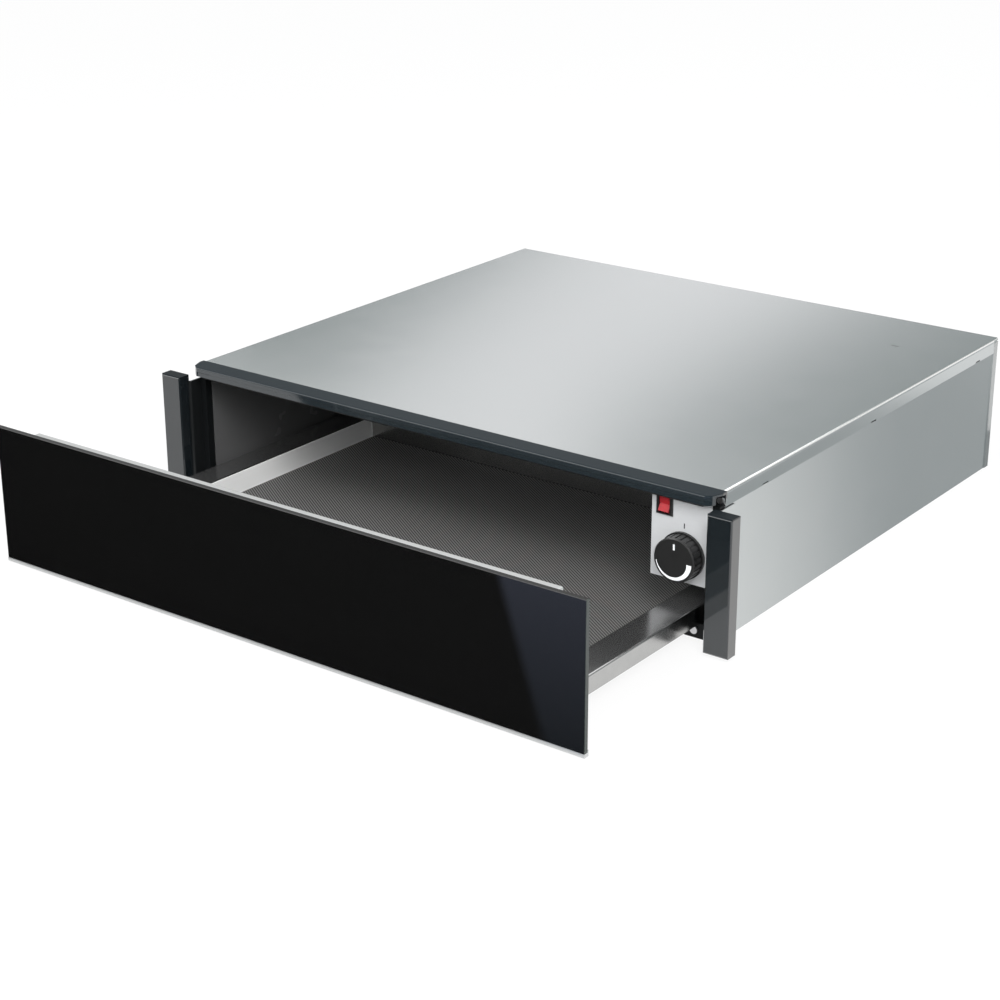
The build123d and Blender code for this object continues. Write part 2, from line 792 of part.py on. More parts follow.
def make_motor_coil():
    """Winding round the stack's lower limb."""
    width, depth, height = motor_size
    low = fan_level - height * limb_share
    back = motor_front + depth
    half = coil_width / 2
    wound = block((-half, half), (motor_front - coil_build, back + coil_build),
                  (low - coil_build, low + limb_height + coil_build))
    wound = fillet(wound.edges().filter_by(Axis.X), coil_corner)
    return wound - block((-half - through, half + through), (motor_front - touch_gap, back + touch_gap),
                         (low - touch_gap, low + limb_height + touch_gap))


def make_fan_impeller():
    """Back disc with a ring of leaning blades."""
    back = fan_front + fan_depth
    disc = rod((0, back - disc_sheet, fan_level), (0, 1, 0), fan_radius, disc_sheet)
    hub = rod((0, fan_front + hub_setback, fan_level), (0, 1, 0), hub_radius, fan_depth - hub_setback)
    impeller = disc + hub
    middle = (blade_root + fan_radius) / 2
    half = (fan_radius - blade_sheet - blade_root) / 2
    blade = block((-half, half), (fan_front, back - disc_sheet / 2), (-blade_sheet / 2, blade_sheet / 2))
    leaning = Pos(middle, 0, 0) * Rot(0, blade_lean, 0) * blade
    for index in range(fan_blades):
        impeller += Pos(0, 0, fan_level) * Rot(0, 360 / fan_blades * index, 0) * leaning
    return impeller - rod((0, fan_front, fan_level), (0, 1, 0), motor_shaft_radius, fan_depth + through)


def make_fan_shaft():
    start = fan_front + shaft_start
    end = motor_front + motor_size[1] + shaft_tail
    return rod((0, start, fan_level), (0, 1, 0), motor_shaft_radius - ball_clearance, end - start)


def make_safety_cutout():
    """Round thermal limiter on the motor plate, with a fixing strap and two terminals."""
    x = motor_plate_width / 2 - cutout_inset
    y = motor_plate_front + sheet
    length, width = cutout_tab
    cutout = rod((x, y, fan_level), (0, 1, 0), cutout_radius, cutout_height)
    cutout += block((x - length / 2, x + length / 2), (y, y + sheet),
                    (fan_level - width / 2, fan_level + width / 2))
    thickness, width, length = cutout_pin
    for side in (-1, 1):
        pin = x + side * cutout_pin_spacing / 2
        cutout += block((pin - thickness / 2, pin + thickness / 2),
                        (y + cutout_height - thickness, y + cutout_height + length),
                        (fan_level - width / 2, fan_level + width / 2))
    return cutout


def make_terminal_block():
    x = inlet_x + terminal_offset
    back = casing_back - sheet
    width, depth, height = terminal_size
    terminals = block((x - width / 2, x + width / 2), (back - depth, back),
                      (inlet_level - height / 2, inlet_level + height / 2))
    for index in range(terminal_count):
        hole_x = x + (index - (terminal_count - 1) / 2) * terminal_pitch
        terminals -= many_sided_rod((hole_x, back - depth - through, inlet_level), (0, 1, 0), terminal_hole_radius,
                                    terminal_hole_depth + through, shank_sides)
    return terminals


def make_cable_inlet():
    """Bushing clipped into the rear panel, with a clear bore for a mains lead."""
    start = casing_back - inlet_reach
    bush = rod((inlet_x, start, inlet_level), (0, 1, 0), inlet_radius + inlet_wall, inlet_length)
    flange = rod((inlet_x, casing_back, inlet_level), (0, 1, 0), inlet_flange, inlet_flange_thickness)
    return bush + flange - through_hole(inlet_x, start, inlet_level, inlet_radius, inlet_length)


# ---------------------------------------------------------------- controls
def make_control_panel():
    panel = block((panel_left, panel_right), (surround_front, surround_front + panel_thickness),
                  (panel_bottom, panel_top))
    panel -= through_hole(knob_x, surround_front, knob_level, bush_radius + bush_gap, panel_thickness)
    half_x, half_z = rocker_cutout()
    panel -= block((rocker_x - half_x, rocker_x + half_x),
                   (surround_front - through, surround_front + panel_thickness + through),
                   (rocker_level - half_z, rocker_level + half_z))
    return panel


def rocker_cutout():
    """Half sizes of the hole that the rocker snaps into."""
    return rocker_size[0] / 2 - rocker_side_lap, rocker_size[1] / 2 - rocker_end_lap


def make_control_box():
    """Steel box behind the panel, closed on top by the liner's ceiling."""
    front = surround_front + panel_thickness
    z = (panel_bottom, opening_height - sheet - touch_gap)
    x = (panel_left, panel_right - control_box_gap)
    box = block(x, (front, front + control_box_depth), z)
    return box - block((x[0] + sheet, x[1] - sheet), (front - through, front + control_box_depth - sheet),
                       (z[0] + sheet, z[1] + through))


def make_rocker_housing():
    half_x, half_z = rocker_cutout()
    width, height = rocker_size
    bezel = block((rocker_x - width / 2, rocker_x + width / 2), (surround_front - rocker_rim, surround_front),
                  (rocker_level - height / 2, rocker_level + height / 2))
    bezel = chamfer(bezel.faces().sort_by(Axis.Y)[0].edges(), rocker_edge)
    body_x, body_z = half_x - rocker_snap, half_z - rocker_snap
    body = block((rocker_x - body_x, rocker_x + body_x), (surround_front, surround_front + rocker_depth),
                 (rocker_level - body_z, rocker_level + body_z))
    housing = bezel + body
    well_x = rocker_key_width / 2 + rocker_key_gap
    well_z = rocker_key_radius + rocker_key_gap
    housing -= block((rocker_x - well_x, rocker_x + well_x),
                     (surround_front - rocker_rim - through, rocker_pivot + rocker_well),
                     (rocker_level - well_z, rocker_level + well_z))
    pin_reach = rocker_key_width / 2 + rocker_pin_reach + rocker_snap
    return housing - rod((rocker_x - pin_reach, rocker_pivot, rocker_level), (1, 0, 0),
                         rocker_pin_radius + running_clearance, 2 * pin_reach)


def make_rocker_key():
    """Dished key on a cross pin, stored with its upper half pressed."""
    half = rocker_key_width / 2
    drum = rod((-half, 0, 0), (1, 0, 0), rocker_key_radius, rocker_key_width)
    front = -rocker_pivot_depth - rocker_rim
    tip = front - rocker_key_tip
    outside = 2 * rocker_key_radius
    face = [(-outside, -outside), (tip, -outside), (tip, -rocker_key_radius), (front + rocker_key_dish, 0),
            (tip, rocker_key_radius), (tip, outside), (-outside, outside)]
    key = drum - prism(at_x(-half - through), face, rocker_key_width + 2 * through)
    key -= block((-half - through, half + through), (rocker_key_back, outside), (-outside, outside))
    key += rod((-half - rocker_pin_reach, 0, 0), (1, 0, 0), rocker_pin_radius,
               rocker_key_width + 2 * rocker_pin_reach)
    return Pos(rocker_x, rocker_pivot, rocker_level) * Rot(-rocker_tilt, 0, 0) * key


def make_thermostat_body():
    width, depth, height = thermostat_size
    front = surround_front + panel_thickness
    body = block((knob_x - width / 2, knob_x + width / 2), (front, front + depth),
                 (knob_level - height / 2, knob_level + height / 2))
    body = chamfer(body.edges().filter_by(Axis.Y), thermostat_corner)
    body += rod((knob_x, front - panel_thickness - knob_gap / 2, knob_level), (0, 1, 0), bush_radius,
                panel_thickness + knob_gap / 2)
    return body - rod((knob_x, front - bush_length, knob_level), (0, 1, 0), shaft_radius + running_clearance,
                      bush_length + thermostat_bore)


def make_thermostat_shaft():
    start = surround_front - knob_gap - shaft_insert
    end = surround_front + panel_thickness + shaft_reach
    shaft = rod((knob_x, start, knob_level), (0, 1, 0), shaft_radius, end - start)
    flat = block((knob_x - 2 * shaft_radius, knob_x + 2 * shaft_radius),
                 (start - through, start + shaft_insert - knob_relief),
                 (knob_level + shaft_flat, knob_level + 2 * shaft_radius))
    return shaft - flat


def make_knob():
    """Ribbed cap on a wider skirt."""
    back = surround_front - knob_gap
    front = back - knob_depth
    cap = rod((knob_x, front, knob_level), (0, 1, 0), knob_radius, knob_depth - knob_skirt_depth)
    ribs_front = front + knob_rib_margin
    width, depth = knob_rib_cut
    notch = block((knob_radius - depth, knob_radius + through), (ribs_front, back - knob_skirt_depth),
                  (-width / 2, width / 2))
    for index in range(knob_rib_count):
        cap -= Pos(knob_x, 0, knob_level) * Rot(0, 360 / knob_rib_count * index, 0) * notch
    cap = chamfer(cap.edges().filter_by(GeomType.CIRCLE).sort_by(Axis.Y)[0], knob_edge)
    skirt = rod((knob_x, back - knob_skirt_depth, knob_level), (0, 1, 0), knob_skirt_radius, knob_skirt_depth)
    knob = cap + skirt
    bore = rod((knob_x, back - shaft_insert, knob_level), (0, 1, 0), shaft_radius + running_clearance,
               shaft_insert + through)
    bore -= block((knob_x - 2 * shaft_radius, knob_x + 2 * shaft_radius),
                  (back - shaft_insert - through, back - knob_relief - touch_gap),
                  (knob_level + shaft_flat + running_clearance, knob_level + 2 * shaft_radius))
    relief = rod((knob_x, back - knob_relief, knob_level), (0, 1, 0), bush_radius + knob_relief_gap,
                 knob_relief + through)
    return knob - bore - relief


# ---------------------------------------------------------------- drawer
def make_front_glass():
    glass = block((-post_outer, post_outer), (glass_back - glass_thickness, glass_back),
                  (glass_bottom, glass_bottom + glass_height))
    return chamfer(glass.faces().sort_by(Axis.Y)[0].edges(), glass_edge)


def make_glass_bottom_strip():
    """Light angle under the glass, with a leg behind it."""
    leg, leg_height = strip_leg
    section = [(glass_back - glass_thickness, glass_bottom), (glass_back - glass_thickness, front_bottom),
               (glass_back + leg, front_bottom), (glass_back + leg, glass_bottom + leg_height),
               (glass_back, glass_bottom + leg_height), (glass_back, glass_bottom)]
    return prism(at_x(-post_outer), section, 2 * post_outer)


def make_front_frame():
    """Shallow tray bonded to the glass, open at the back."""
    z = (glass_bottom + frame_bottom_inset, glass_bottom + glass_height - frame_top_inset)
    tray = block((-frame_side, frame_side), (glass_back, glass_back + frame_depth), z)
    tray = fillet(tray.edges().filter_by(Axis.Y), frame_corner)
    tray -= block((-frame_side + frame_sheet, frame_side - frame_sheet),
                  (frame_web_back, glass_back + frame_depth + through),
                  (z[0] + frame_sheet, z[1] - frame_sheet))
    for seat in frame_screw_seats:
        tray -= screw_hole(seat, (0, -1, 0), sheet_screw)
    return tray


def make_drawer_pan():
    """Polished pan: one folded section from lip to lip, closed by a wall at each end."""
    lip = pan_rim_height - lip_height
    section = [
        (-rim_side, lip), (-rim_side, pan_rim_height), (-pan_side, pan_rim_height), (-pan_side, pan_floor),
        (pan_side, pan_floor), (pan_side, pan_rim_height), (rim_side, pan_rim_height), (rim_side, lip),
    ]
    pan = folded(at_y(pan_front), section, pan_depth, thickness=pan_sheet, bend=pan_bend, side=Side.RIGHT)
    for y in (pan_front, pan_back - pan_sheet):
        pan += block((-pan_side - pan_sheet / 2, pan_side + pan_sheet / 2), (y, y + pan_sheet),
                     (pan_floor - pan_sheet / 2, pan_rim_height))
    for seat in frame_screw_seats:
        pan -= screw_hole(seat, (0, -1, 0), sheet_screw)
    return pan


def make_silicone_mat():
    mat = block((-pan_side + mat_gap + pan_bend, pan_side - mat_gap - pan_bend),
                (pan_front + pan_sheet + mat_gap, pan_back - pan_sheet - mat_gap),
                (pan_floor, pan_floor + mat_thickness))
    return fillet(mat.edges().filter_by(Axis.Z), mat_corner)


def make_frame_screws():
    length = pan_sheet + frame_sheet - running_clearance
    return group([screw(seat, (0, -1, 0), length) for seat in frame_screw_seats])


def make_stop_buffers():
    """Soft pads behind the glass that meet the posts when the shut drawer is pushed."""
    pads = []
    for side in (-1, 1):
        for level in (post_bottom + buffer_inset, post_bottom + post_height - buffer_inset):
            pads.append(many_sided_rod((side * post_middle, glass_back, level), (0, 1, 0), buffer_radius,
                                       buffer_height, buffer_sides))
    return group(pads)


def make_latch_striker():
    width, depth, height = striker_size
    return block((-width / 2, width / 2), (pan_back, pan_back + depth),
                 (latch_level - height / 2, latch_level + height / 2))


# ---------------------------------------------------------------- telescopic slides
def slide_channel(height, web_x, tip_x, front):
    """Open channel: upright web at one X, its two flanges reaching to another."""
    low, high = slide_level - height / 2, slide_level + height / 2
    inward = Side.LEFT if web_x > tip_x else Side.RIGHT
    section = [(tip_x, low), (web_x, low), (web_x, high), (tip_x, high)]
    return folded(at_y(front), section, slide_length, thickness=slide_sheet, bend=slide_bend, side=inward)


def make_slide_outer_right():
    return slide_channel(slide_height, slide_side, slide_flange_tip, slide_fixed_front)


def make_slide_middle_right():
    web = slide_side - slide_sheet - slide_web_gap
    return slide_channel(middle_height, web, slide_flange_tip, slide_middle_front)


def make_slide_inner_right():
    tip = slide_side - 2 * slide_sheet - 2 * slide_web_gap - touch_gap
    return slide_channel(inner_height, slide_side - slide_depth, tip, slide_inner_front)


def cage_rows(outer_height, front_to_centre):
    """Ball rows between two nested members: balls in a thin strip, above and below."""
    x = (slide_side - slide_sheet - slide_web_gap + slide_flange_tip) / 2
    pieces = []
    for sign in (-1, 1):
        level = slide_level + sign * (outer_height / 2 - slide_sheet - ball_gap / 2)
        strip = block((x - cage_strip[0] / 2, x + cage_strip[0] / 2),
                      (front_to_centre - cage_length / 2, front_to_centre + cage_length / 2),
                      (level - cage_strip[1] / 2, level + cage_strip[1] / 2))
        for index in range(balls_per_row):
            y = front_to_centre + (index - (balls_per_row - 1) / 2) * ball_pitch
            strip -= many_sided_rod((x, y, level - through), (0, 0, 1), ball_radius + ball_hole_gap, 2 * through,
                                    ball_sides)
            pieces.append(ball(x, y, level))
        pieces.append(strip)
    return pieces


def make_outer_ball_cages():
    centre = slide_fixed_front + slide_length / 2 - rest_opening / 4
    right = cage_rows(slide_height, centre)
    return group(right + [mirrored(part) for part in right])


def make_inner_ball_cages():
    centre = slide_fixed_front + slide_length / 2 - slide_lead / 2 - rest_opening * 3 / 4
    right = cage_rows(middle_height, centre)
    return group(right + [mirrored(part) for part in right])


def make_slide_bracket_right():
    """Angle on the base that carries the fixed member, with a tab behind the sill."""
    top = slide_level + slide_height / 2
    section = [(slide_side + bracket_foot, sheet), (slide_side, sheet), (slide_side, top)]
    bracket = folded(at_y(slide_fixed_front), section, slide_length,
                     thickness=bracket_sheet, bend=bracket_bend, side=Side.RIGHT)
    tab = block((slide_side + bracket_sheet / 2, slide_side + bracket_foot),
                (slide_fixed_front, slide_fixed_front + bracket_sheet),
                (sheet + bracket_sheet / 2, bracket_tab_height))
    bracket += tab
    seat = (surround_screw_x, slide_fixed_front, surround_screw_z)
    return bracket - screw_hole(seat, (0, 1, 0), sheet_screw)


# ---------------------------------------------------------------- latch
def make_latch_body():
    width, depth, height = latch_size
    body = block((-width / 2, width / 2), (latch_front, baffle_front),
                 (latch_level - height / 2, latch_level + height / 2))
    body = fillet(body.edges().filter_by(Axis.Y), latch_corner)
    return body - rod((0, latch_front - through, latch_level), (0, 1, 0), plunger_radius + plunger_bore_gap,
                      depth - latch_wall + through)


def make_latch_plunger():
    start = closed_striker_back + plunger_gap
    end = baffle_front - latch_wall - plunger_travel - touch_gap
    plunger = rod((0, start, latch_level), (0, 1, 0), plunger_radius, end - start)
    return chamfer(plunger.edges().sort_by(Axis.Y)[0], plunger_edge)


# ---------------------------------------------------------------- output
def build_parts():
    pieces = {
        "base_panel": make_base_panel(),
        "side_panel_right": make_side_panel_right(),
        "rear_panel": make_rear_panel(),
        "top_cover": make_top_cover(),
        "front_rail": make_front_rail(),
        "front_trim": make_front_trim(),
        "trim_gasket": make_trim_gasket(),
        "front_surround": make_front_surround(),
        "post_right": make_post_right(),
        "mounting_ear_right": make_mounting_ear_right(),
        "ear_screws": make_ear_screws(),
        "surround_screws": make_surround_screws(),
        "flange_screws": make_flange_screws(),
        "rear_screws": make_rear_screws(),
        "liner_right": make_liner_right(),
        "liner_ceiling": make_liner_ceiling(),
        "top_insulation": make_top_insulation(),
        "rear_baffle": make_rear_baffle(),
        "motor_plate": make_motor_plate(),
        "heating_element": make_heating_element(),
        "fan_motor": make_fan_motor(),
        "motor_coil": make_motor_coil(),
        "fan_impeller": make_fan_impeller(),
        "fan_shaft": make_fan_shaft(),
        "safety_cutout": make_safety_cutout(),
        "terminal_block": make_terminal_block(),
        "cable_inlet": make_cable_inlet(),
        "control_panel": make_control_panel(),
        "control_box": make_control_box(),
        "rocker_housing": make_rocker_housing(),
        "rocker_key": make_rocker_key(),
        "thermostat_body": make_thermostat_body(),
        "thermostat_shaft": make_thermostat_shaft(),
        "knob": make_knob(),
        "front_glass": make_front_glass(),
        "glass_bottom_strip": make_glass_bottom_strip(),
        "front_frame": make_front_frame(),
        "drawer_pan": make_drawer_pan(),
        "silicone_mat": make_silicone_mat(),
        "frame_screws": make_frame_screws(),
        "stop_buffers": make_stop_buffers(),
        "latch_striker": make_latch_striker(),
        "latch_body": make_latch_body(),
        "latch_plunger": make_latch_plunger(),
        "slide_outer_right": make_slide_outer_right(),
        "slide_middle_right": make_slide_middle_right(),
        "slide_inner_right": make_slide_inner_right(),
        "slide_bracket_right": make_slide_bracket_right(),
        "outer_ball_cages": make_outer_ball_cages(),
        "inner_ball_cages": make_inner_ball_cages(),
    }
    for name in [name for name in pieces if name.endswith("_right")]:
        pieces[name.replace("_right", "_left")] = mirrored(pieces[name])
    return pieces


def main():
    os.makedirs("parts", exist_ok=True)
    for name, part in build_parts().items():
        export_step(part, f"parts/{name}.step")
        print(name, round(part.volume, 1))


main()
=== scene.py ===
# %% [markdown]
# # Dressing a built-in warming drawer
# A warming drawer is a low steel box that slides into a kitchen cabinet, with a dark glass front on telescopic
# slides. Its solids come from a CAD model, in metres and in one fixed frame: X runs to the right seen from the
# front, Y runs back into the cabinet and Z runs up. This lesson loads them, gives every piece a finish made of
# shader nodes, adds the small printed and soft pieces, and lights the whole like a catalogue photograph.

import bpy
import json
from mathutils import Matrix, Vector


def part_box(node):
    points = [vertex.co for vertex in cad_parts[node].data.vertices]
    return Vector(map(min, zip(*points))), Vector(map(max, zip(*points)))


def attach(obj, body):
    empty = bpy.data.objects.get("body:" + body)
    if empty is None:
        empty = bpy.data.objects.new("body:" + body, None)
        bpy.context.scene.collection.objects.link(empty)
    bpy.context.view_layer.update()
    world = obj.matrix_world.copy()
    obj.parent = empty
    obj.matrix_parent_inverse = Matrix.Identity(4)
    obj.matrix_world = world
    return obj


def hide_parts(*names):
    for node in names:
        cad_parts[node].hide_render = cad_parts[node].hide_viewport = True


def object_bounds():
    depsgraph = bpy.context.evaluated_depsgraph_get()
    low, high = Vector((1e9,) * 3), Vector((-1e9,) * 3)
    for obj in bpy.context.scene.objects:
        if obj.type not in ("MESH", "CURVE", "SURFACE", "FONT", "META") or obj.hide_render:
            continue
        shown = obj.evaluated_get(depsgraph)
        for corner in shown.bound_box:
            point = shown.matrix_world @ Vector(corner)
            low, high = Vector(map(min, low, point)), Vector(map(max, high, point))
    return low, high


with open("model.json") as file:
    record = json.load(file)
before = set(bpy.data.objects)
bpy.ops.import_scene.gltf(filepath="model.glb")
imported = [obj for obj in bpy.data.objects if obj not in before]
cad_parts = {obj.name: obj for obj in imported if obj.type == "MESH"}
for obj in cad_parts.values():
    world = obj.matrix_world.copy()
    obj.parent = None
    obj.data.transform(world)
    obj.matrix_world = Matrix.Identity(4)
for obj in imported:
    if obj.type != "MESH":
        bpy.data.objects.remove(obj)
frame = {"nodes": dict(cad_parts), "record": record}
nodes = frame["nodes"]
cad_box = [[float(value) for value in corner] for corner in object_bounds()]
print("CAD nodes", len(nodes), "box", cad_box)

# %% Libraries and units
import json

import bpy
import numpy as np
from mathutils import Matrix

MM = 0.001
scene = bpy.context.scene
scene.view_settings.view_transform = "Standard"
print("view transform", scene.view_settings.view_transform)

# %% [markdown]
# ## The camera
# A camera is a place, three directions and a focal length. The numbers come from the straight edges of the drawer
# in the picture. A matrix whose columns are the camera's right, up and backward directions puts it in place at
# once, which is simpler than three turns that depend on their order.

# %% Camera
yaw, pitch, roll = np.radians([36.775, 21.490, -0.155])
level_right = np.array([np.cos(yaw), np.sin(yaw), 0.0])
ahead = np.array([-np.sin(yaw) * np.cos(pitch), np.cos(yaw) * np.cos(pitch), -np.sin(pitch)])
level_up = np.cross(level_right, ahead)
right = np.cos(roll) * level_right + np.sin(roll) * level_up
up = -np.sin(roll) * level_right + np.cos(roll) * level_up
eye = np.array([1053.9, -1575.4, 723.4]) * MM

camera_data = bpy.data.cameras.new("camera")
camera_data.lens = 77.75
camera_data.sensor_width = 36.0
camera = bpy.data.objects.new("camera", camera_data)
scene.collection.objects.link(camera)
pose = np.eye(4)
pose[:3, :3] = np.column_stack([right, up, -ahead])
pose[:3, 3] = eye
camera.matrix_world = Matrix(pose.tolist())
scene.camera = camera
print("camera", eye.round(3), "lens", camera_data.lens)

# %% [markdown]
# ## Shader maths as Python
# A finish is a small graph of nodes. Written node by node it is long and hard to read, so a class wraps one output
# socket and overloads the usual operators: an expression such as 1 - mask * 0.3 adds its Math nodes by itself.

# %% Sockets that do sums
class Value:
    """One output socket. Sums on it add Math nodes to its graph."""

    def __init__(self, graph, socket):
        self.graph, self.socket = graph, socket

    def maths(self, operation, *inputs):
        return self.graph.node("ShaderNodeMath", {"operation": operation}, dict(enumerate(inputs)))

    def __add__(self, other):
        return self.maths("ADD", self, other)

    def __sub__(self, other):
        return self.maths("SUBTRACT", self, other)

    def __rsub__(self, other):
        return self.maths("SUBTRACT", other, self)

    def __mul__(self, other):
        return self.maths("MULTIPLY", self, other)

    def __truediv__(self, other):
        return self.maths("DIVIDE", self, other)

    def __pow__(self, other):
        return self.maths("POWER", self, other)

    __radd__ = __add__
    __rmul__ = __mul__

    def wave(self, period):
        """Cosine from 0 to 1 that repeats after a length: (1 + cos(2 pi x / period)) / 2."""
        turned = self * (2 * np.pi / period)
        return turned.maths("COSINE", turned) * 0.5 + 0.5

    def size(self):
        """The value without its sign."""
        return self.maths("ABSOLUTE", self)

    def rise(self, low, high):
        """Smooth step from 0 at low to 1 at high."""
        settings = {"interpolation_type": "SMOOTHSTEP"}
        return self.graph.node("ShaderNodeMapRange", settings, {0: self, 1: low, 2: high, 3: 0.0, 4: 1.0})

    def limit(self, low=0.0, high=1.0):
        """Held between two numbers."""
        return self.graph.node("ShaderNodeClamp", {}, {0: self, 1: low, 2: high})

    def within(self, middle, half, soft=0.0001):
        """1 where the value is nearer than half to the middle, with a soft border."""
        return 1 - (self - middle).size().rise(half - soft, half + soft)


print("sums on", Value.__name__)

# %% [markdown]
# A second class holds the graph. One method adds any kind of node, with its settings first, because some of them
# change which sockets the node has. Colours are blended by a Mix node, as a Math node would turn them grey.

# %% Graphs
class Graph:
    """A node tree under construction."""

    def __init__(self, tree):
        self.tree = tree

    def node(self, kind, settings=None, inputs=None, output=0):
        """Adds a node: its settings first, then its sockets' values or links, and gives one output."""
        made = self.tree.nodes.new(kind)
        for name, value in (settings or {}).items():
            setattr(made, name, value)
        self.feed(made, inputs or {})
        return Value(self, made.outputs[output])

    def feed(self, made, inputs):
        for key, value in inputs.items():
            socket = made.inputs[key]
            if isinstance(value, Value):
                self.tree.links.new(value.socket, socket)
            elif hasattr(socket.default_value, "__len__") and len(value) == 3 and len(socket.default_value) == 4:
                socket.default_value = (*value, 1.0)
            else:
                socket.default_value = value

    def blend(self, factor, low, high):
        """Colour that goes from low to high as the factor goes from 0 to 1."""
        return self.node("ShaderNodeMix", {"data_type": "RGBA"}, {0: factor, 6: low, 7: high}, output=2)


print("nodes in", Graph.__name__)

# %% [markdown]
# A third class is a whole material. It has what every finish of the drawer needs: the point's place in the frame,
# noise at a size in metres, and relief. Object coordinates are used throughout, because every piece sits at the
# origin, so a pattern runs on from piece to piece and stays put when a body moves.

# %% Materials
class Finish(Graph):
    """A material whose Principled shader takes plain values, or what varies over the surface."""

    def __init__(self, name, **values):
        self.material = bpy.data.materials.new(name)
        self.material.use_nodes = True
        super().__init__(self.material.node_tree)
        self.shader = self.tree.nodes["Principled BSDF"]
        self.set(**values)

    def set(self, **values):
        self.feed(self.shader, {name.replace("_", " "): value for name, value in values.items()})

    def place(self, stretch=(1.0, 1.0, 1.0)):
        """The point's place in the frame, in metres, scaled along each axis."""
        coordinates = self.node("ShaderNodeTexCoord", output="Object")
        return self.node("ShaderNodeVectorMath", {"operation": "MULTIPLY"}, {0: coordinates, 1: stretch})

    def axes(self):
        """X, Y and Z of the point's place, each as a value."""
        split = self.tree.nodes.new("ShaderNodeSeparateXYZ")
        self.feed(split, {0: self.place()})
        return [Value(self, socket) for socket in split.outputs]

    def grain(self, size, stretch=(1.0, 1.0, 1.0), detail=2.0, roughness=0.5):
        """Noise from 0 to 1 whose blotches are about a size in metres, stretched along each axis."""
        scale = tuple(1.0 / (size * factor) for factor in stretch)
        return self.node("ShaderNodeTexNoise", {"noise_dimensions": "3D"},
                         {"Vector": self.place(scale), "Scale": 1.0, "Detail": detail, "Roughness": roughness})

    def relief(self, height, depth, strength=1.0):
        """Feeds a height from 0 to 1 into the normal, over a depth in metres."""
        self.set(Normal=self.node("ShaderNodeBump", {}, {"Strength": strength, "Distance": depth, "Height": height}))


print("materials by", Finish.__name__)

# %% [markdown]
# ## Sheet steel
# The casing is zinc-coated sheet with a satin skin: a metal whose reflections are blurred, with a faint rolling
# grain and slight clouding in the zinc. Metallic 1 and a low roughness give the satin. The clouding is a broad
# noise on the roughness and colour, the rolling grain a noise stretched along the sheet. The cover's side flanges
# and the rear panel's returns were folded by hand and lean a little, so they mirror another part of the room than
# the walls beside them. A bump whose height falls evenly along the strip turns the normal by that lean. Behind the
# relief slits under the flanges the side panel is painted dark, as painted shade, and the cover's side bends are
# painted pale, as a painted highlight along the fold. Two faint dots near its right rear corner are spot welds.
#
# All these are masks on the point's place, so the places come first, in metres.

# %% Places on the casing
ZINC_TONES = (0.600, 0.626, 0.628), (0.634, 0.654, 0.656)
SLITS = (-0.184, -0.003, 0.201)
SLIT_LEVEL, SLIT_HALF_LENGTH, SLIT_HALF_HEIGHT = 0.1143, 0.0042, 0.0008
BEND_SIDE, BEND_LEVEL = 0.2723, 0.1251
WELD_X, WELD_Y, WELD_REACH = 0.2077, 0.1643, 0.002
casing_side = float(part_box("top_cover")[1].x)
print("slits at", SLITS, "welds at", (WELD_X - WELD_REACH, WELD_Y), (WELD_X + WELD_REACH, WELD_Y))

# %% Zinc-coated sheet
def zinc(name, lean=None):
    """Satin zinc. A lean is an axis, the two places on it between which the sheet leans, and the slope."""
    finish = Finish(name, Metallic=1.0)
    x, y, z = finish.axes()
    clouds = finish.grain(0.035, detail=3.0)
    rolling = finish.grain(0.0006, stretch=(60.0, 1.0, 1.0))
    # Painted shade: the side panel is dark and rougher right behind each relief slit.
    slit_shade = sum(y.within(place, SLIT_HALF_LENGTH) for place in SLITS) * z.within(SLIT_LEVEL, SLIT_HALF_HEIGHT)
    # Painted highlight: the cover's side bends are pale along the fold.
    bend_highlight = z.rise(BEND_LEVEL - 0.0003, BEND_LEVEL + 0.0003) * x.size().rise(BEND_SIDE - 0.0003, BEND_SIDE + 0.0003)
    away = ((x - WELD_X).size() - WELD_REACH) ** 2.0 + (y - WELD_Y) ** 2.0
    welds = (1 - away.rise(0.000001, 0.000006)) * z.rise(0.1262, 0.1266)
    zinc_tone_and_highlight = finish.blend(bend_highlight, finish.blend(clouds, *ZINC_TONES), (0.88, 0.88, 0.87))
    zinc_tone_and_highlight = finish.blend(welds, zinc_tone_and_highlight, (0.42, 0.44, 0.44))
    rough = 0.215 + clouds * 0.03 + rolling * 0.03
    height = rolling * 0.0000015
    if lean:
        axis, from_place, to_place, slope = lean
        height = height - (x, y, z)[axis].limit(from_place, to_place) * slope
        rough = rough - x.size().rise(casing_side - 0.0003, casing_side - 0.0002) * 0.10
    else:
        rough = rough + slit_shade * 0.5
    finish.set(Base_Color=finish.blend(slit_shade, zinc_tone_and_highlight, (0.02, 0.02, 0.02)), Roughness=rough)
    finish.relief(height, 1.0)
    return finish.material


def zinc_steel():
    return zinc("zinc_steel")


def cover_steel():
    """Its side flanges lean along Z."""
    return zinc("cover_steel", lean=(2, 0.1137, 0.1242, 0.287))


def rear_steel():
    """Its side returns lean along Y."""
    return zinc("rear_steel", lean=(1, 0.2350, 0.2426, 0.45))


print("leaning strips reach x", casing_side)

# %% [markdown]
# The mounting ears are bent from the same zinc-coated sheet. Seen from the front, their inner edge and their bend lie
# in the shade between the casing and the posts, so there the zinc gives way to painted shade, black like the frame.

# %% Mounting ears
EAR_EDGE, EAR_FRONT = 0.2740, -0.2631


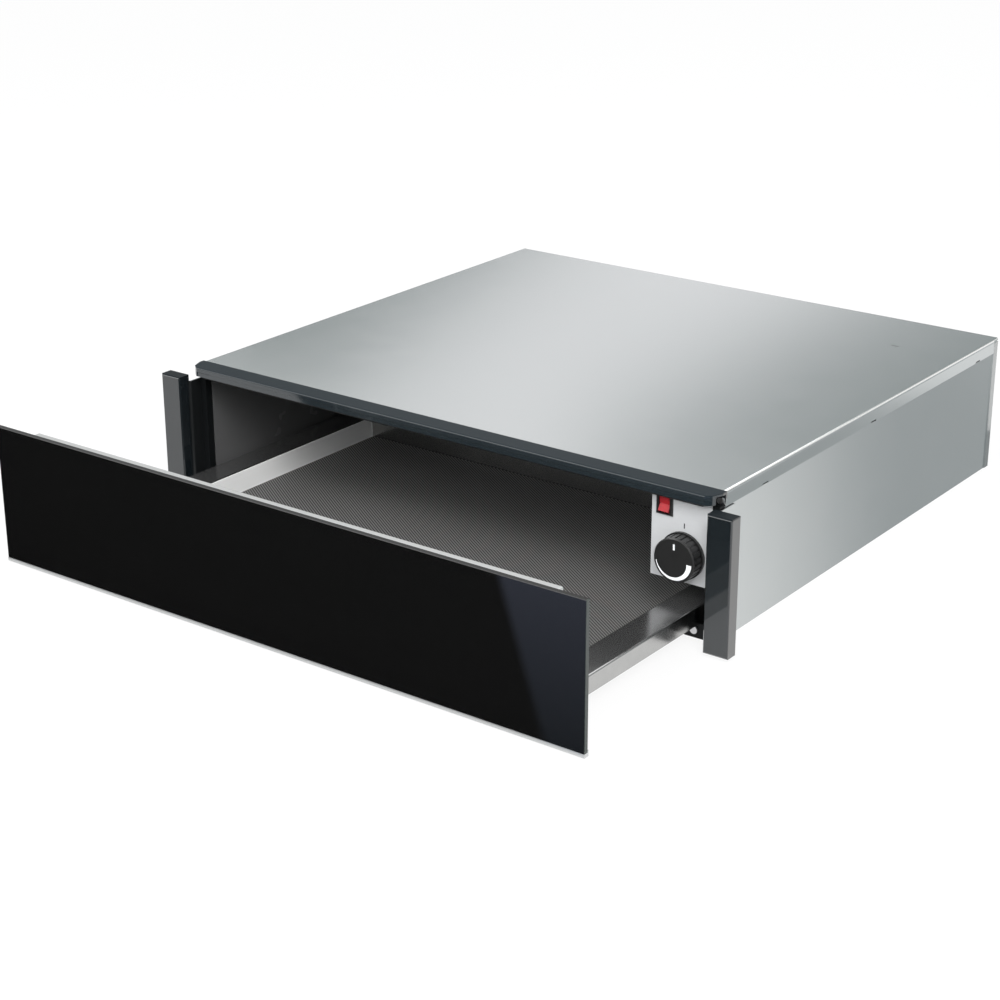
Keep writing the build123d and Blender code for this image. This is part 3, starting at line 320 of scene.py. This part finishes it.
def ear_sheet_painted_shade():
    """Zinc whose inner edge and front, beside the opening, are painted black as shade."""
    finish = Finish("ear_sheet_painted_shade")
    x, y, _ = finish.axes()
    # Where bare is 0 the ear is painted black as shade instead of zinc.
    bare = x.size().rise(EAR_EDGE - 0.0002, EAR_EDGE + 0.0002) * y.rise(EAR_FRONT - 0.0003, EAR_FRONT + 0.0003)
    clouds = finish.grain(0.035, detail=3.0)
    finish.set(Base_Color=finish.blend(bare, (0.006, 0.007, 0.0075), finish.blend(clouds, *ZINC_TONES)),
               Metallic=bare, Roughness=0.45 - bare * 0.22 + clouds * 0.03)
    return finish.material


print("ears are black within x +-", EAR_EDGE, "and before y", EAR_FRONT)

# %% [markdown]
# ## Brushed and drawn metals
# The control panel, the tray behind the glass and the small light strip are brushed along X: fine scratches that
# run far along the piece. The slides are plated steel with a track that the balls have polished. The screws are
# bright and slightly dull in their roots. One function with a few values makes the brushed ones.

# %% Brushed metal
def brushed(name, dark, light, rough, scratch=0.00025, run=120.0, metallic=1.0):
    """Fine scratches, each about run times as long as a scratch is wide, with faint clouds."""
    finish = Finish(name, Metallic=metallic)
    lines = finish.grain(scratch, stretch=(run, 1.0, 1.0), detail=3.0)
    clouds = finish.grain(0.02)
    finish.set(Base_Color=finish.blend(lines * 0.7 + clouds * 0.3, dark, light), Roughness=rough + lines * 0.08)
    finish.relief(lines, 0.000004)
    return finish.material


def panel_steel():
    return brushed("panel_steel", (0.60, 0.61, 0.62), (0.70, 0.71, 0.72), 0.30, metallic=0.2)


def frame_steel():
    return brushed("frame_steel", (0.50, 0.51, 0.51), (0.60, 0.61, 0.60), 0.30, metallic=0.8)


def light_strip():
    return brushed("light_strip", (0.60, 0.61, 0.61), (0.70, 0.71, 0.71), 0.32, scratch=0.0002)


def screw_steel():
    return brushed("screw_steel", (0.50, 0.50, 0.51), (0.66, 0.66, 0.67), 0.26, scratch=0.0004, run=1.0)


print("brushed finishes", [maker.__name__ for maker in (panel_steel, frame_steel, light_strip, screw_steel)])

# %% Plated slides
SLIDE_LEVEL, TRACK_REACH = 0.017, 0.0085


def slide_steel():
    """Plated channel: duller on the web, polished where the balls run."""
    finish = Finish("slide_steel", Metallic=1.0)
    drawn = finish.grain(0.0003, stretch=(1.0, 90.0, 1.0))
    _, _, z = finish.axes()
    track = 1 - ((z - SLIDE_LEVEL).size() - TRACK_REACH).size().rise(0.0012, 0.0022)
    finish.set(Base_Color=finish.blend(drawn, (0.50, 0.51, 0.52), (0.62, 0.63, 0.64)),
               Roughness=0.34 + drawn * 0.06 - track * 0.16)
    finish.relief(drawn, 0.000004)
    return finish.material


print("ball tracks at z", SLIDE_LEVEL - TRACK_REACH, "and", SLIDE_LEVEL + TRACK_REACH)

# %% [markdown]
# ## Polished pan and balls
# The pan is stainless steel. Its rim and outer sides are polished, a mirror with the faint haze that polishing
# leaves. Its inner walls keep the satin skin of the sheet, but are painted pale and hardly metallic: painted sheen.
# A mask on the point's place tells the two apart, and drives metallic, roughness and colour together.

# %% Polished steel
WALL_SIDE, WALL_LEVEL, WALL_HALF_HEIGHT = 0.2327, 0.0198, 0.0103
RIM_SIDE, RIM_LEVEL = 0.2338, 0.0307


def polished_steel():
    """Stainless pan: satin inner walls with painted sheen, a mirror elsewhere, a little darker on the rim."""
    finish = Finish("polished_steel")
    x, _, z = finish.axes()
    haze = finish.grain(0.012, detail=3.0)
    drawn = finish.grain(0.0004, stretch=(1.0, 80.0, 1.0))
    satin_wall_and_painted_sheen = x.size().within(WALL_SIDE, 0.0012, 0.0003) * z.within(WALL_LEVEL, WALL_HALF_HEIGHT, 0.0003)
    rim = z.within(RIM_LEVEL, 0.0005) * x.size().rise(RIM_SIDE - 0.0002, RIM_SIDE + 0.0002)
    mirror = finish.blend(haze, (0.44, 0.44, 0.435), (0.50, 0.50, 0.49))
    mirror = finish.blend(rim, mirror, (0.36, 0.36, 0.36))
    # Painted sheen: the inner walls get a pale, hardly metallic colour that stands in for their bright reflection.
    finish.set(Base_Color=finish.blend(satin_wall_and_painted_sheen, mirror, (0.96, 0.96, 0.95)),
               Metallic=1 - satin_wall_and_painted_sheen * 0.95 - rim * 0.09, Roughness=0.14 + haze * 0.06 + drawn * 0.06 + satin_wall_and_painted_sheen * 0.2)
    finish.relief(drawn, 0.0000005)
    return finish.material


def ball_steel():
    """Hard bright steel with a faint haze."""
    finish = Finish("ball_steel", Metallic=1.0)
    haze = finish.grain(0.012, detail=3.0)
    drawn = finish.grain(0.0004, stretch=(1.0, 80.0, 1.0))
    finish.set(Base_Color=finish.blend(haze, (0.5952, 0.5952, 0.6048), (0.62, 0.62, 0.63)),
               Roughness=0.05 + haze * 0.05 + drawn * 0.03)
    finish.relief(drawn, 0.0000012)
    return finish.material


print("pan walls at x +-", WALL_SIDE)

# %% [markdown]
# ## Painted and dark pieces
# The trim and the two posts are dark blue-grey under a hard clear lacquer that mirrors more than plain paint, and
# their upper faces are rubbed matt. Coat Weight is the lacquer: 1 on the fronts and sides, 0 on the upper faces.
# The posts' outer faces and the trim's ends are painted a lighter, metallic grey: painted light on those sides. The
# frame round the opening is dull black, the liner black enamel. Enamel is glossy with a slight waviness, called
# orange peel: a bump of a few microns over a few millimetres.

# %% Black enamel, trim and posts
def coated(name, dark, light, rough):
    """A painted finish and its colour: faint clouds under a fine orange peel."""
    finish = Finish(name)
    clouds = finish.grain(0.03)
    colour = finish.blend(clouds, dark, light)
    finish.set(Base_Color=colour, Roughness=rough + clouds * 0.05)
    finish.relief(finish.grain(0.004), 0.000006)
    return finish, colour


def black_sheet():
    finish, _ = coated("black_sheet", (0.095, 0.095, 0.096), (0.110, 0.110, 0.111), 0.24)
    return finish.material


def surround_sheet():
    finish, _ = coated("surround_sheet", (0.004, 0.005, 0.0055), (0.008, 0.009, 0.0095), 0.45)
    finish.set(Specular_IOR_Level=0.15)
    return finish.material


def lacquered(name, dark, light, node, index, matt):
    """Dark paint whose clear coat, of a given index, ends a short way below the upper face of a node."""
    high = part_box(node)[1]
    top = float(high.z)
    finish, colour = coated(name, dark, light, 0.35)
    x, _, z = finish.axes()
    # Painted light: the outer faces get a lighter metallic grey than the lacquered fronts.
    outer = x.size().rise(high.x - 0.0004, high.x - 0.0002)
    finish.set(Base_Color=finish.blend(outer, colour, (0.10, 0.10, 0.10)), Metallic=outer,
               Specular_IOR_Level=0.05, Coat_IOR=index, Coat_Roughness=0.06,
               Coat_Weight=1 - z.rise(top - matt - 0.0005, top - matt))
    return finish.material


def dark_profile():
    return lacquered("dark_profile", (0.012, 0.018, 0.022), (0.017, 0.023, 0.027), "front_trim", 1.72, 0.0003)


def dark_plastic():
    return lacquered("dark_plastic", (0.006, 0.009, 0.011), (0.009, 0.012, 0.014), "post_right", 1.76, 0.0007)


# %% [markdown]
# ## Plastics and rubber
# The knob and the switch frame are matt black plastic whose mould was etched, so they have a fine random grain. The
# latch and the terminal block are pale plastic, the rocker key is clear red plastic, and the seals are rubber, dull
# all over. Each is a plain colour on the real piece, and the grain in roughness and bump is what tells them apart.

# %% Moulded plastic and rubber
def moulded(name, dark, light, rough, etch=0.0003):
    """One colour with faint clouds under an etched grain."""
    finish = Finish(name)
    skin = finish.grain(etch, detail=3.0, roughness=0.6)
    clouds = finish.grain(0.01)
    finish.set(Base_Color=finish.blend(clouds * 0.6 + skin * 0.4, dark, light), Roughness=rough + skin * 0.12)
    finish.relief(skin, 0.00001)
    return finish.material


def black_plastic():
    return moulded("black_plastic", (0.010, 0.010, 0.010), (0.018, 0.018, 0.018), 0.28)


def light_plastic():
    return moulded("light_plastic", (0.66, 0.65, 0.60), (0.74, 0.73, 0.69), 0.42)


def black_rubber():
    return moulded("black_rubber", (0.008, 0.008, 0.008), (0.016, 0.016, 0.016), 0.62, etch=0.0006)


print("moulded finishes", [maker.__name__ for maker in (black_plastic, light_plastic, black_rubber)])

# %% Rocker key
KEY_X, KEY_Z = 0.224, 0.1063


def red_plastic():
    """Clear red key, with painted light that makes its middle brighter."""
    finish = Finish("red_plastic", IOR=1.49, Coat_Weight=0.4, Coat_Roughness=0.05)
    x, _, z = finish.axes()
    away = ((x - KEY_X) ** 2.0 + (z - KEY_Z) ** 2.0) ** 0.5
    speck = finish.grain(0.0008)
    # Painted light: a round patch in the key's middle is a brighter red.
    middle = 1 - away.rise(0.001, 0.008)
    finish.set(Base_Color=finish.blend(middle, (0.28, 0.010, 0.016), (0.46, 0.018, 0.026)),
               Roughness=0.16 + speck * 0.08)
    return finish.material


print("key lit at", (KEY_X, KEY_Z))

# %% [markdown]
# ## The silicone mat
# The mat in the pan keeps dishes from sliding. It is dark grey with fine raised dots in slanting rows, 2.3 mm apart.
# The product of two cosines, one across each family of rows, is such a lattice. The dots' tops are lighter than
# the hollows, so the same value drives colour and bump.

# %% Dotted mat
ROW_SPACING = 0.00231
ROW_SLANT, ROW_FORWARD = 0.555, 0.832


def mat_rubber():
    """Dots where two families of rows cross: waves along (slant, forward) and (-slant, forward)."""
    finish = Finish("mat_rubber", Specular_IOR_Level=0.3)
    x, y, _ = finish.axes()
    rows = (x * ROW_SLANT + y * ROW_FORWARD).wave(ROW_SPACING)
    cross_rows = (y * ROW_FORWARD - x * ROW_SLANT).wave(ROW_SPACING)
    dots = rows * (0.5 + cross_rows * 0.5)
    fine = finish.grain(0.0005)
    finish.set(Base_Color=finish.blend(dots.rise(0.15, 0.65), (0.018, 0.018, 0.018), (0.21, 0.21, 0.207)),
               Roughness=0.50 + fine * 0.15)
    finish.relief(dots, 0.0002, strength=0.5)
    return finish.material


print("mat rows", ROW_SPACING, "apart")

# %% [markdown]
# ## Glass front
# The front is clear glass printed black on its back, so it looks like a black mirror. Its ground side edges show the
# glass's own green-grey, and its top edge is duller. The edges are found by their place: a mask on X or Z rises in
# the last half millimetre.

# %% Printed glass
glass_low, glass_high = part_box("front_glass")


def dark_glass():
    finish = Finish("dark_glass", IOR=1.5)
    x, _, z = finish.axes()
    side = x.size().rise(glass_high.x - 0.0004, glass_high.x - 0.0002)
    top = z.rise(glass_high.z - 0.0004, glass_high.z - 0.0002)
    grind = finish.grain(0.0004)
    finish.set(Base_Color=finish.blend(side, (0.0035, 0.0035, 0.0035), (0.030, 0.037, 0.034)),
               Roughness=0.02 + side * 0.22 + top * 0.5 + grind * 0.01)
    return finish.material


print("glass from", tuple(glass_low), "to", tuple(glass_high))

# %% [markdown]
# ## Behind the drawer
# The warm-air unit has a heating tube that has gone brown and blue with heat, a motor core of stacked plates and a
# copper winding. The plates are stripes across the stack half a millimetre apart, the winding stripes along its
# limb. The insulation is mineral wool. They show only through the grille or with the cover off, and get the same
# care in fewer nodes.

# %% Heater, motor and winding
LAMINATION = 0.0005


def element_sheath():
    finish = Finish("element_sheath", Metallic=1.0)
    heat = finish.grain(0.018, detail=3.0)
    scale = finish.grain(0.0008)
    finish.set(Base_Color=finish.blend(heat, (0.10, 0.085, 0.080), (0.21, 0.19, 0.18)),
               Roughness=0.42 + scale * 0.15)
    finish.relief(scale, 0.00001)
    return finish.material


def motor_iron():
    finish = Finish("motor_iron", Metallic=1.0)
    _, y, _ = finish.axes()
    plates = y.wave(LAMINATION)
    rust = finish.grain(0.003)
    finish.set(Base_Color=finish.blend(plates * 0.6 + rust * 0.4, (0.10, 0.10, 0.105), (0.24, 0.24, 0.25)),
               Roughness=0.38 + rust * 0.15)
    finish.relief(plates, 0.00004)
    return finish.material


def winding():
    finish = Finish("winding", Metallic=0.7, Coat_Weight=0.6, Coat_Roughness=0.12)
    x, _, _ = finish.axes()
    turns = x.wave(LAMINATION)
    finish.set(Base_Color=finish.blend(turns, (0.18, 0.055, 0.018), (0.52, 0.23, 0.09)), Roughness=0.25 + turns * 0.1)
    finish.relief(turns, 0.0001)
    return finish.material


print("plates and turns", LAMINATION, "apart")

# %% Mineral wool
def mineral_mat():
    """Pale yellow fibres with broad tufts."""
    finish = Finish("mineral_mat", Sheen_Weight=0.3, Sheen_Roughness=0.5)
    fibres = finish.grain(0.0007, stretch=(4.0, 1.0, 1.0), detail=4.0, roughness=0.7)
    tufts = finish.grain(0.015, detail=3.0)
    finish.set(Base_Color=finish.blend(tufts * 0.5 + fibres * 0.5, (0.40, 0.37, 0.28), (0.62, 0.59, 0.50)),
               Roughness=0.90 + fibres * 0.08)
    finish.relief(fibres, 0.0004)
    return finish.material


print("finish for the wool", mineral_mat.__name__)

# %% [markdown]
# ## Finishes go on
# The record says which finish each CAD node has. A node's mesh stays as it is: only the material in its slot
# changes. The cover, the rear panel, the frame round the opening and the two mounting ears get a finish of their own.

# %% Assign a finish to every node
makers = [zinc_steel, dark_profile, black_sheet, black_rubber, dark_plastic, black_plastic, red_plastic, panel_steel,
          dark_glass, light_strip, frame_steel, polished_steel, mat_rubber, screw_steel, slide_steel, ball_steel,
          mineral_mat, element_sheath, motor_iron, winding, light_plastic]
finishes = {maker.__name__: maker() for maker in makers}
slot_of = {part["node"]: part["material_slot"] for part in frame["record"]["subparts"]}


def dress(piece, material):
    """Puts one material in a piece's only slot."""
    piece.data.materials.clear()
    piece.data.materials.append(material)


ear_finish = ear_sheet_painted_shade()
own_finish = {"top_cover": cover_steel(), "rear_panel": rear_steel(), "front_surround": surround_sheet(),
              "mounting_ear_left": ear_finish, "mounting_ear_right": ear_finish}
for name, node in nodes.items():
    dress(node, own_finish.get(name, finishes[slot_of[name]]))
print("finishes", len(finishes) + len(set(own_finish.values())), "on", len(nodes), "nodes")

# %% [markdown]
# ## Surfaces from formulas
# The pieces that CAD leaves to this lesson are worked out with numpy: a shape is a grid of points, rows by columns,
# and each square of the grid becomes a face. A ring of columns that closes on itself, with both ends capped, is a
# solid bar that follows a path.

# %% Mesh makers
def as_piece(name, points, faces, material, body):
    """An object at the origin from points in the frame, with outward faces, that rides on a CAD body."""
    mesh = bpy.data.meshes.new(name)
    mesh.from_pydata(points.reshape(-1, 3).tolist(), [], faces)
    mesh.validate()
    piece = bpy.data.objects.new(name, mesh)
    scene.collection.objects.link(piece)
    dress(piece, material)
    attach(piece, body)
    return piece


def bar(name, rings, material, body):
    """Closed bar through a series of rings, each a row of points, with a cap at both ends."""
    rows, columns = rings.shape[:2]
    index = np.arange(rows * columns).reshape(rows, columns)
    ahead_one = np.roll(index, -1, axis=1)
    faces = np.stack([index[:-1], index[1:], ahead_one[1:], ahead_one[:-1]], axis=-1).reshape(-1, 4).tolist()
    faces += [index[0].tolist(), index[-1][::-1].tolist()]
    return as_piece(name, rings, faces, material, body)


def corners(inner, outer, low, high):
    """Four corners of a bar's section: (distance, height) pairs, one ring per row of the inputs."""
    inner, outer = np.broadcast_arrays(np.asarray(inner, float), np.asarray(outer, float))
    reach = np.stack([inner, outer, outer, inner], axis=-1)
    height = np.broadcast_to(np.array([low, low, high, high], float), reach.shape)
    return reach, height


print("mesh makers ready")

# %% [markdown]
# ## Printed marks
# The knob has a white pointer and a white crescent that grows from a hair to a broad band, which tells which way is
# warmer. A short black line on the panel is the zero mark. On the real pieces these are printed a tenth of a
# millimetre thick. The crescent is a bar along an arc whose inner radius shrinks with the angle.

# %% Ink
def ink(name, dark, light):
    finish = Finish(name)
    skin = finish.grain(0.0003, detail=3.0)
    finish.set(Base_Color=finish.blend(skin, dark, light), Roughness=0.45 + skin * 0.1)
    return finish.material


white_ink = ink("white_ink", (0.82, 0.85, 0.87), (0.88, 0.90, 0.91))
black_ink = ink("black_ink", (0.010, 0.010, 0.010), (0.020, 0.020, 0.020))
print("inks", white_ink.name, black_ink.name)

# %% Marks on the knob and the panel
knob_low, knob_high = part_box("knob")
knob_x, knob_z = (knob_low.x + knob_high.x) / 2, (knob_low.z + knob_high.z) / 2
knob_face = knob_low.y
sink = 0.02 * MM  # how far a print reaches into its face


def round_the_knob(angle, radius):
    """Points at angles and radii round the knob's axis: x = r cos a, z = r sin a."""
    return knob_x + radius * np.cos(angle), knob_z + radius * np.sin(angle)


def crescent():
    """Arc from 189 to 358 degrees whose width grows evenly from 0.4 to 4.4 mm inside a 16.2 mm circle."""
    turn = np.radians(np.linspace(189, 358, 60))
    width = np.linspace(0.4, 4.4, 60) * MM
    reach, height = corners(16.2 * MM - width, 16.2 * MM, knob_face + sink, knob_face - 0.08 * MM)
    x, z = round_the_knob(turn[:, None], reach)
    return bar("knob_crescent", np.stack([x, height, z], axis=-1), white_ink, "knob")


def pointer():
    """Straight bar along the knob's upper radius, 1.5 mm wide, from 8.9 to 13.7 mm."""
    along = np.array([8.9, 13.7]) * MM + knob_z
    reach, height = corners(np.full(2, knob_x - 0.75 * MM), knob_x + 0.75 * MM, knob_face + sink,
                            knob_face - 0.08 * MM)
    return bar("knob_pointer", np.stack([reach, height, np.broadcast_to(along[:, None], reach.shape)], axis=-1),
               white_ink, "knob")


def zero_mark():
    """Short black bar on the panel above the knob."""
    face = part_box("control_panel")[0].y
    along = np.array([22.2, 26.4]) * MM + knob_z
    reach, height = corners(np.full(2, knob_x - 0.45 * MM), knob_x + 0.45 * MM, face + sink, face - 0.06 * MM)
    return bar("panel_zero_mark", np.stack([reach, height, np.broadcast_to(along[:, None], reach.shape)], axis=-1),
               black_ink, "casing")


for made in (crescent(), pointer(), zero_mark()):
    print(made.name, len(made.data.polygons), "faces")

# %% [markdown]
# ## Insulation
# Under the cover lies a mat of mineral wool. It is soft, so its solid block is replaced by a pad that thins at its
# rim and dimples where it has been tacked. Its top and bottom are two grids that share their outline.

# %% Wool mat
def wool_mat():
    """Closed pad on the block's box. Height above its floor: T (1 - u^12)(1 - v^12) (0.93 + 0.06 cos cos)."""
    low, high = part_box("top_insulation")
    u = np.sin(np.linspace(-np.pi / 2, np.pi / 2, 90))[:, None]
    v = np.sin(np.linspace(-np.pi / 2, np.pi / 2, 80))[None, :]
    x = (low.x + high.x) / 2 + u * (high.x - low.x) / 2 + 0 * v
    y = (low.y + high.y) / 2 + v * (high.y - low.y) / 2 + 0 * u
    rim = (1 - u ** 12) * (1 - v ** 12)
    tufts = 0.93 + 0.06 * np.cos(2 * np.pi * x / 0.07) * np.cos(2 * np.pi * y / 0.07)
    top = low.z + 0.0004 + (high.z - low.z - 0.0008) * rim * tufts
    bottom = np.where(rim > 0, low.z + 0.0001, low.z + 0.0004)
    rows, columns = x.shape
    upper = np.arange(rows * columns).reshape(rows, columns)
    lower = upper + rows * columns
    outline = np.zeros((rows, columns), bool)
    outline[[0, -1], :] = outline[:, [0, -1]] = True
    lower = np.where(outline, upper, lower)
    points = np.concatenate([np.stack([x, y, z], axis=-1).reshape(-1, 3) for z in (top, bottom)])
    above = np.stack([upper[:-1, :-1], upper[1:, :-1], upper[1:, 1:], upper[:-1, 1:]], axis=-1).reshape(-1, 4)
    below = np.stack([lower[:-1, :-1], lower[:-1, 1:], lower[1:, 1:], lower[1:, :-1]], axis=-1).reshape(-1, 4)
    pad = as_piece("insulation_wool", points, np.concatenate([above, below]).tolist(), finishes["mineral_mat"],
                   "casing")
    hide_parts("top_insulation")
    return pad


print("wool mat", len(wool_mat().data.polygons), "faces")

# %% [markdown]
# ## Studio
# The drawer stands on a pale floor in a white room. White behind an object comes from the floor's and the world's
# own colour for camera rays, not from stronger lamps, which would wash the object out. Mirror rays and rays through
# glass see the same white.

# %% World
def seen_directly(graph):
    """1 for rays from the camera, mirror rays and rays through glass, and 0 for the rest."""
    path = graph.tree.nodes.new("ShaderNodeLightPath")
    camera_ray, mirror_ray, glass_ray = (Value(graph, path.outputs[name]) for name in
                                         ("Is Camera Ray", "Is Glossy Ray", "Is Transmission Ray"))
    return (camera_ray + mirror_ray + glass_ray).limit()


world = bpy.data.worlds.new("studio")
world.use_nodes = True
world.node_tree.nodes.clear()
room = Graph(world.node_tree)
room_light = room.node("ShaderNodeBackground", {}, {"Color": (0.98, 0.99, 1.0), "Strength": 0.76})
room_white = room.node("ShaderNodeBackground", {}, {"Color": (1.0, 1.0, 1.0), "Strength": 1.0})
room_mix = room.node("ShaderNodeMixShader", {}, {0: seen_directly(room), 1: room_light, 2: room_white})
world_output = world.node_tree.nodes.new("ShaderNodeOutputWorld")
world.node_tree.links.new(room_mix.socket, world_output.inputs["Surface"])
scene.world = world
print("room light", room_light.socket.node.inputs["Strength"].default_value)

# %% Floor
def flat_sheet(name, points, material):
    """One flat sheet that belongs to the studio, not to the drawer."""
    mesh = bpy.data.meshes.new(name)
    mesh.from_pydata([tuple(point) for point in points], [], [tuple(range(len(points)))])
    sheet = bpy.data.objects.new(name, mesh)
    scene.collection.objects.link(sheet)
    sheet.data.materials.append(material)
    return sheet


def floor_material():
    finish = Finish("floor", Base_Color=(0.95, 0.95, 0.95), Roughness=0.85)
    glow = finish.node("ShaderNodeEmission", {}, {"Color": (1.0, 1.0, 1.0), "Strength": 1.0})
    lit = Value(finish, finish.shader.outputs[0])
    mixed = finish.node("ShaderNodeMixShader", {}, {0: seen_directly(finish) * 0.88, 1: lit, 2: glow})
    finish.tree.links.new(mixed.socket, finish.tree.nodes["Material Output"].inputs["Surface"])
    return finish.material


floor_z = cad_box[0][2] - 0.0004  # a hair under the drawer, so the two don't flicker
floor_corners = [(-6, -6, floor_z), (6, -6, floor_z), (6, 6, floor_z), (-6, 6, floor_z)]
flat_sheet("floor", floor_corners, floor_material())
print("floor at", floor_z)

# %% [markdown]
# ## Cards
# A photographer shapes the reflections in metal and glass with cards that the camera doesn't see. Here they are
# sheets seen only by mirror rays. A dark one lies before the glass front. One hangs behind, above the casing, and
# its pale band is what the top mirrors. One lies beside the casing, and one stands far off for the folded edges.

# %% Card material
def card(name, points, colour_of):
    """Sheet that only mirror rays see, with a colour worked out from its place."""
    finish = Finish(name)
    finish.tree.nodes.remove(finish.shader)
    glow = finish.node("ShaderNodeEmission", {}, {"Color": colour_of(finish), "Strength": 1.0})
    finish.tree.links.new(glow.socket, finish.tree.nodes["Material Output"].inputs["Surface"])
    sheet = flat_sheet(name, points, finish.material)
    sheet.visible_camera = sheet.visible_diffuse = sheet.visible_shadow = False
    sheet.visible_transmission = sheet.visible_volume_scatter = False
    print(name, np.round(points, 3).tolist())
    return sheet


def past_line(finish, foot, top):
    """Signed distance on the floor plan to the line from foot to top, positive on the side of larger X."""
    x, y, _ = finish.axes()
    line = np.subtract(top, foot)[:2]
    across = np.array([line[1], -line[0]]) / np.linalg.norm(line)
    across = across * np.sign(across[0])
    return (x - float(foot[0])) * float(across[0]) + (y - float(foot[1])) * float(across[1])


CARD_LEVEL = -0.0002  # of the cards that lie on the floor, between it and the drawer
print("cards lie at", CARD_LEVEL)

# %% [markdown]
# The card before the glass starts where the mirror ray from the glass's lower edge meets the floor, so the pale
# strip under the glass still mirrors the white floor. A line on the card divides black from blue-grey, as a window
# beside the set would.

# %% Card before the glass
def thrown_on_floor(point):
    """Where the mirror ray at a point of the glass meets the card: e' + t (p - e'), e' the eye's mirror image."""
    image = np.array([eye[0], 2 * glass_low.y - eye[1], eye[2]])
    line = np.asarray(point) - image
    return image + line * (CARD_LEVEL - image[2]) / line[2]


band_top = thrown_on_floor((0.2241, glass_low.y, 0.1225))
band_foot = thrown_on_floor((0.2636, glass_low.y, 0.0066))


def front_card_colour(finish):
    """Black, and blue-grey that darkens forwards past a line."""
    _, y, _ = finish.axes()
    fade = (y - float(band_top[1])) / float(band_foot[1] - band_top[1])
    blue = finish.blend(fade.limit(), (0.44, 0.50, 0.70), (0.12, 0.155, 0.21))
    return finish.blend(past_line(finish, band_foot, band_top).rise(-0.005, 0.005), (0.004, 0.004, 0.004), blue)


left_foot = thrown_on_floor((glass_low.x - 0.012, glass_low.y, glass_low.z))
left_top = thrown_on_floor((glass_low.x - 0.012, glass_low.y, glass_high.z))
left_far = left_foot + 5 * (left_top - left_foot)
card("front_card", [left_foot, left_far, (2.2, left_far[1], CARD_LEVEL), (2.2, left_foot[1], CARD_LEVEL)],
     front_card_colour)

# %% [markdown]
# The card behind the casing hangs level, half a metre up. Seen from the camera, a level card is mirrored in the level
# top without distortion, only smaller, so a line drawn on the top is scaled about the eye's mirror image to get the
# line on the card.

# %% Card behind, for the top
BACK_CARD = 0.5  # its height
BAND_LEFT, BAND_RIGHT = ((-0.120, -0.21), (-0.252, 0.23)), ((0.150, -0.21), (0.135, 0.23))
top_height = float(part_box("top_cover")[1].z)


def from_top(point, height):
    """Scales a point of the casing's top about the eye's mirror image, up to a height."""
    image = np.array([eye[0], eye[1], 2 * top_height - eye[2]])
    line = np.array([*point, top_height]) - image
    return image + line * (height - image[2]) / line[2]


def back_card_colour(finish):
    """Pale band between two lines that part towards the back, on mid grey."""
    soft = 0.075
    left, right = (past_line(finish, from_top(foot, BACK_CARD), from_top(top, BACK_CARD))
                   for foot, top in (BAND_LEFT, BAND_RIGHT))
    band = left.rise(-soft, soft) * (1 - right.rise(-soft, soft))
    return finish.blend(band, (0.31, 0.345, 0.345), (1.05, 1.04, 1.055))


card("back_card", [(x, y, BACK_CARD) for x, y in ((-2.4, 0.45), (0.45, 0.45), (0.45, 2.6), (-2.4, 2.6))],
     back_card_colour)

# %% [markdown]
# The card beside the casing goes from pale to grey along a slant that looks upright in the casing's side. The far
# card covers the darker half of what the leaning folds mirror.

# %% Cards beside the casing
SLANT = 1.60  # how fast the side card's border runs back


def side_card_colour(finish):
    """Pale before a slanting line, grey behind it and far from the casing."""
    x, y, _ = finish.axes()
    back = y - (x - casing_side) * SLANT
    dark = (back.rise(-0.30, 0.09) + x.rise(0.60, 0.80)).limit()
    return finish.blend(dark, (0.97, 0.97, 0.965), (0.455, 0.48, 0.485))


def far_card_colour(finish):
    """Grey that fades in over its near end."""
    x, _, _ = finish.axes()
    return finish.blend(x.rise(1.80, 2.00), (1.0, 1.0, 1.0), (0.26, 0.29, 0.29))


card("side_card", [(casing_side - 0.004, -0.26, CARD_LEVEL), (2.2, -0.26, CARD_LEVEL),
                   (1.85, 2.50, CARD_LEVEL), (0.45, 0.75, CARD_LEVEL), (casing_side - 0.004, 0.33, CARD_LEVEL)],
     side_card_colour)
card("far_card", [(1.72, 2.63, 0.0), (3.9, 1.15, 0.0), (3.9, 1.15, 1.4), (1.72, 2.63, 1.4)], far_card_colour)

# %% [markdown]
# ## Lamps
# A large soft lamp at the front left models the forms and puts the pale line on the trim's edge. One at the front
# right reaches into the open drawer and lights the pan's left wall. One straight ahead lies lower, so its light gets
# under the trim and onto the mat. These two don't show in mirrors, or the steel would flare when seen from behind. A
# last one behind, high up, lights the casing's rear edge. Their level is plain: with the room's light, a white card
# here would come out just white.

# %% Soft lamps
def soft_lamp(name, place, aim, size, power, mirrored=True):
    data = bpy.data.lights.new(name, "AREA")
    data.shape = "RECTANGLE"
    data.size, data.size_y = size
    data.energy = power
    lamp = bpy.data.objects.new(name, data)
    scene.collection.objects.link(lamp)
    back = np.asarray(place, float) - np.asarray(aim, float)
    back = back / np.linalg.norm(back)
    side = np.cross((0, 0, 1), back)
    side = side / np.linalg.norm(side)
    turn = np.eye(4)
    turn[:3, :3] = np.column_stack([side, np.cross(back, side), back])
    turn[:3, 3] = place
    lamp.matrix_world = Matrix(turn.tolist())
    lamp.visible_glossy = mirrored
    return lamp


key = soft_lamp("key_lamp", (-1.7, -1.5, 2.4), (0, 0, 0.05), (1.6, 1.6), 26.0)
fill = soft_lamp("fill_lamp", (1.7, -1.7, 1.9), (0, -0.25, 0.05), (1.2, 1.2), 64.0, mirrored=False)
front = soft_lamp("front_lamp", (0.2, -3.0, 1.7), (0, -0.2, 0.05), (1.0, 0.8), 34.0, mirrored=False)
rim = soft_lamp("rim_lamp", (0.3, 3.0, 2.9), (0.1, 0, 0.1), (2.2, 0.9), 10.0)
print("lamps", key.name, fill.name, front.name, rim.name)
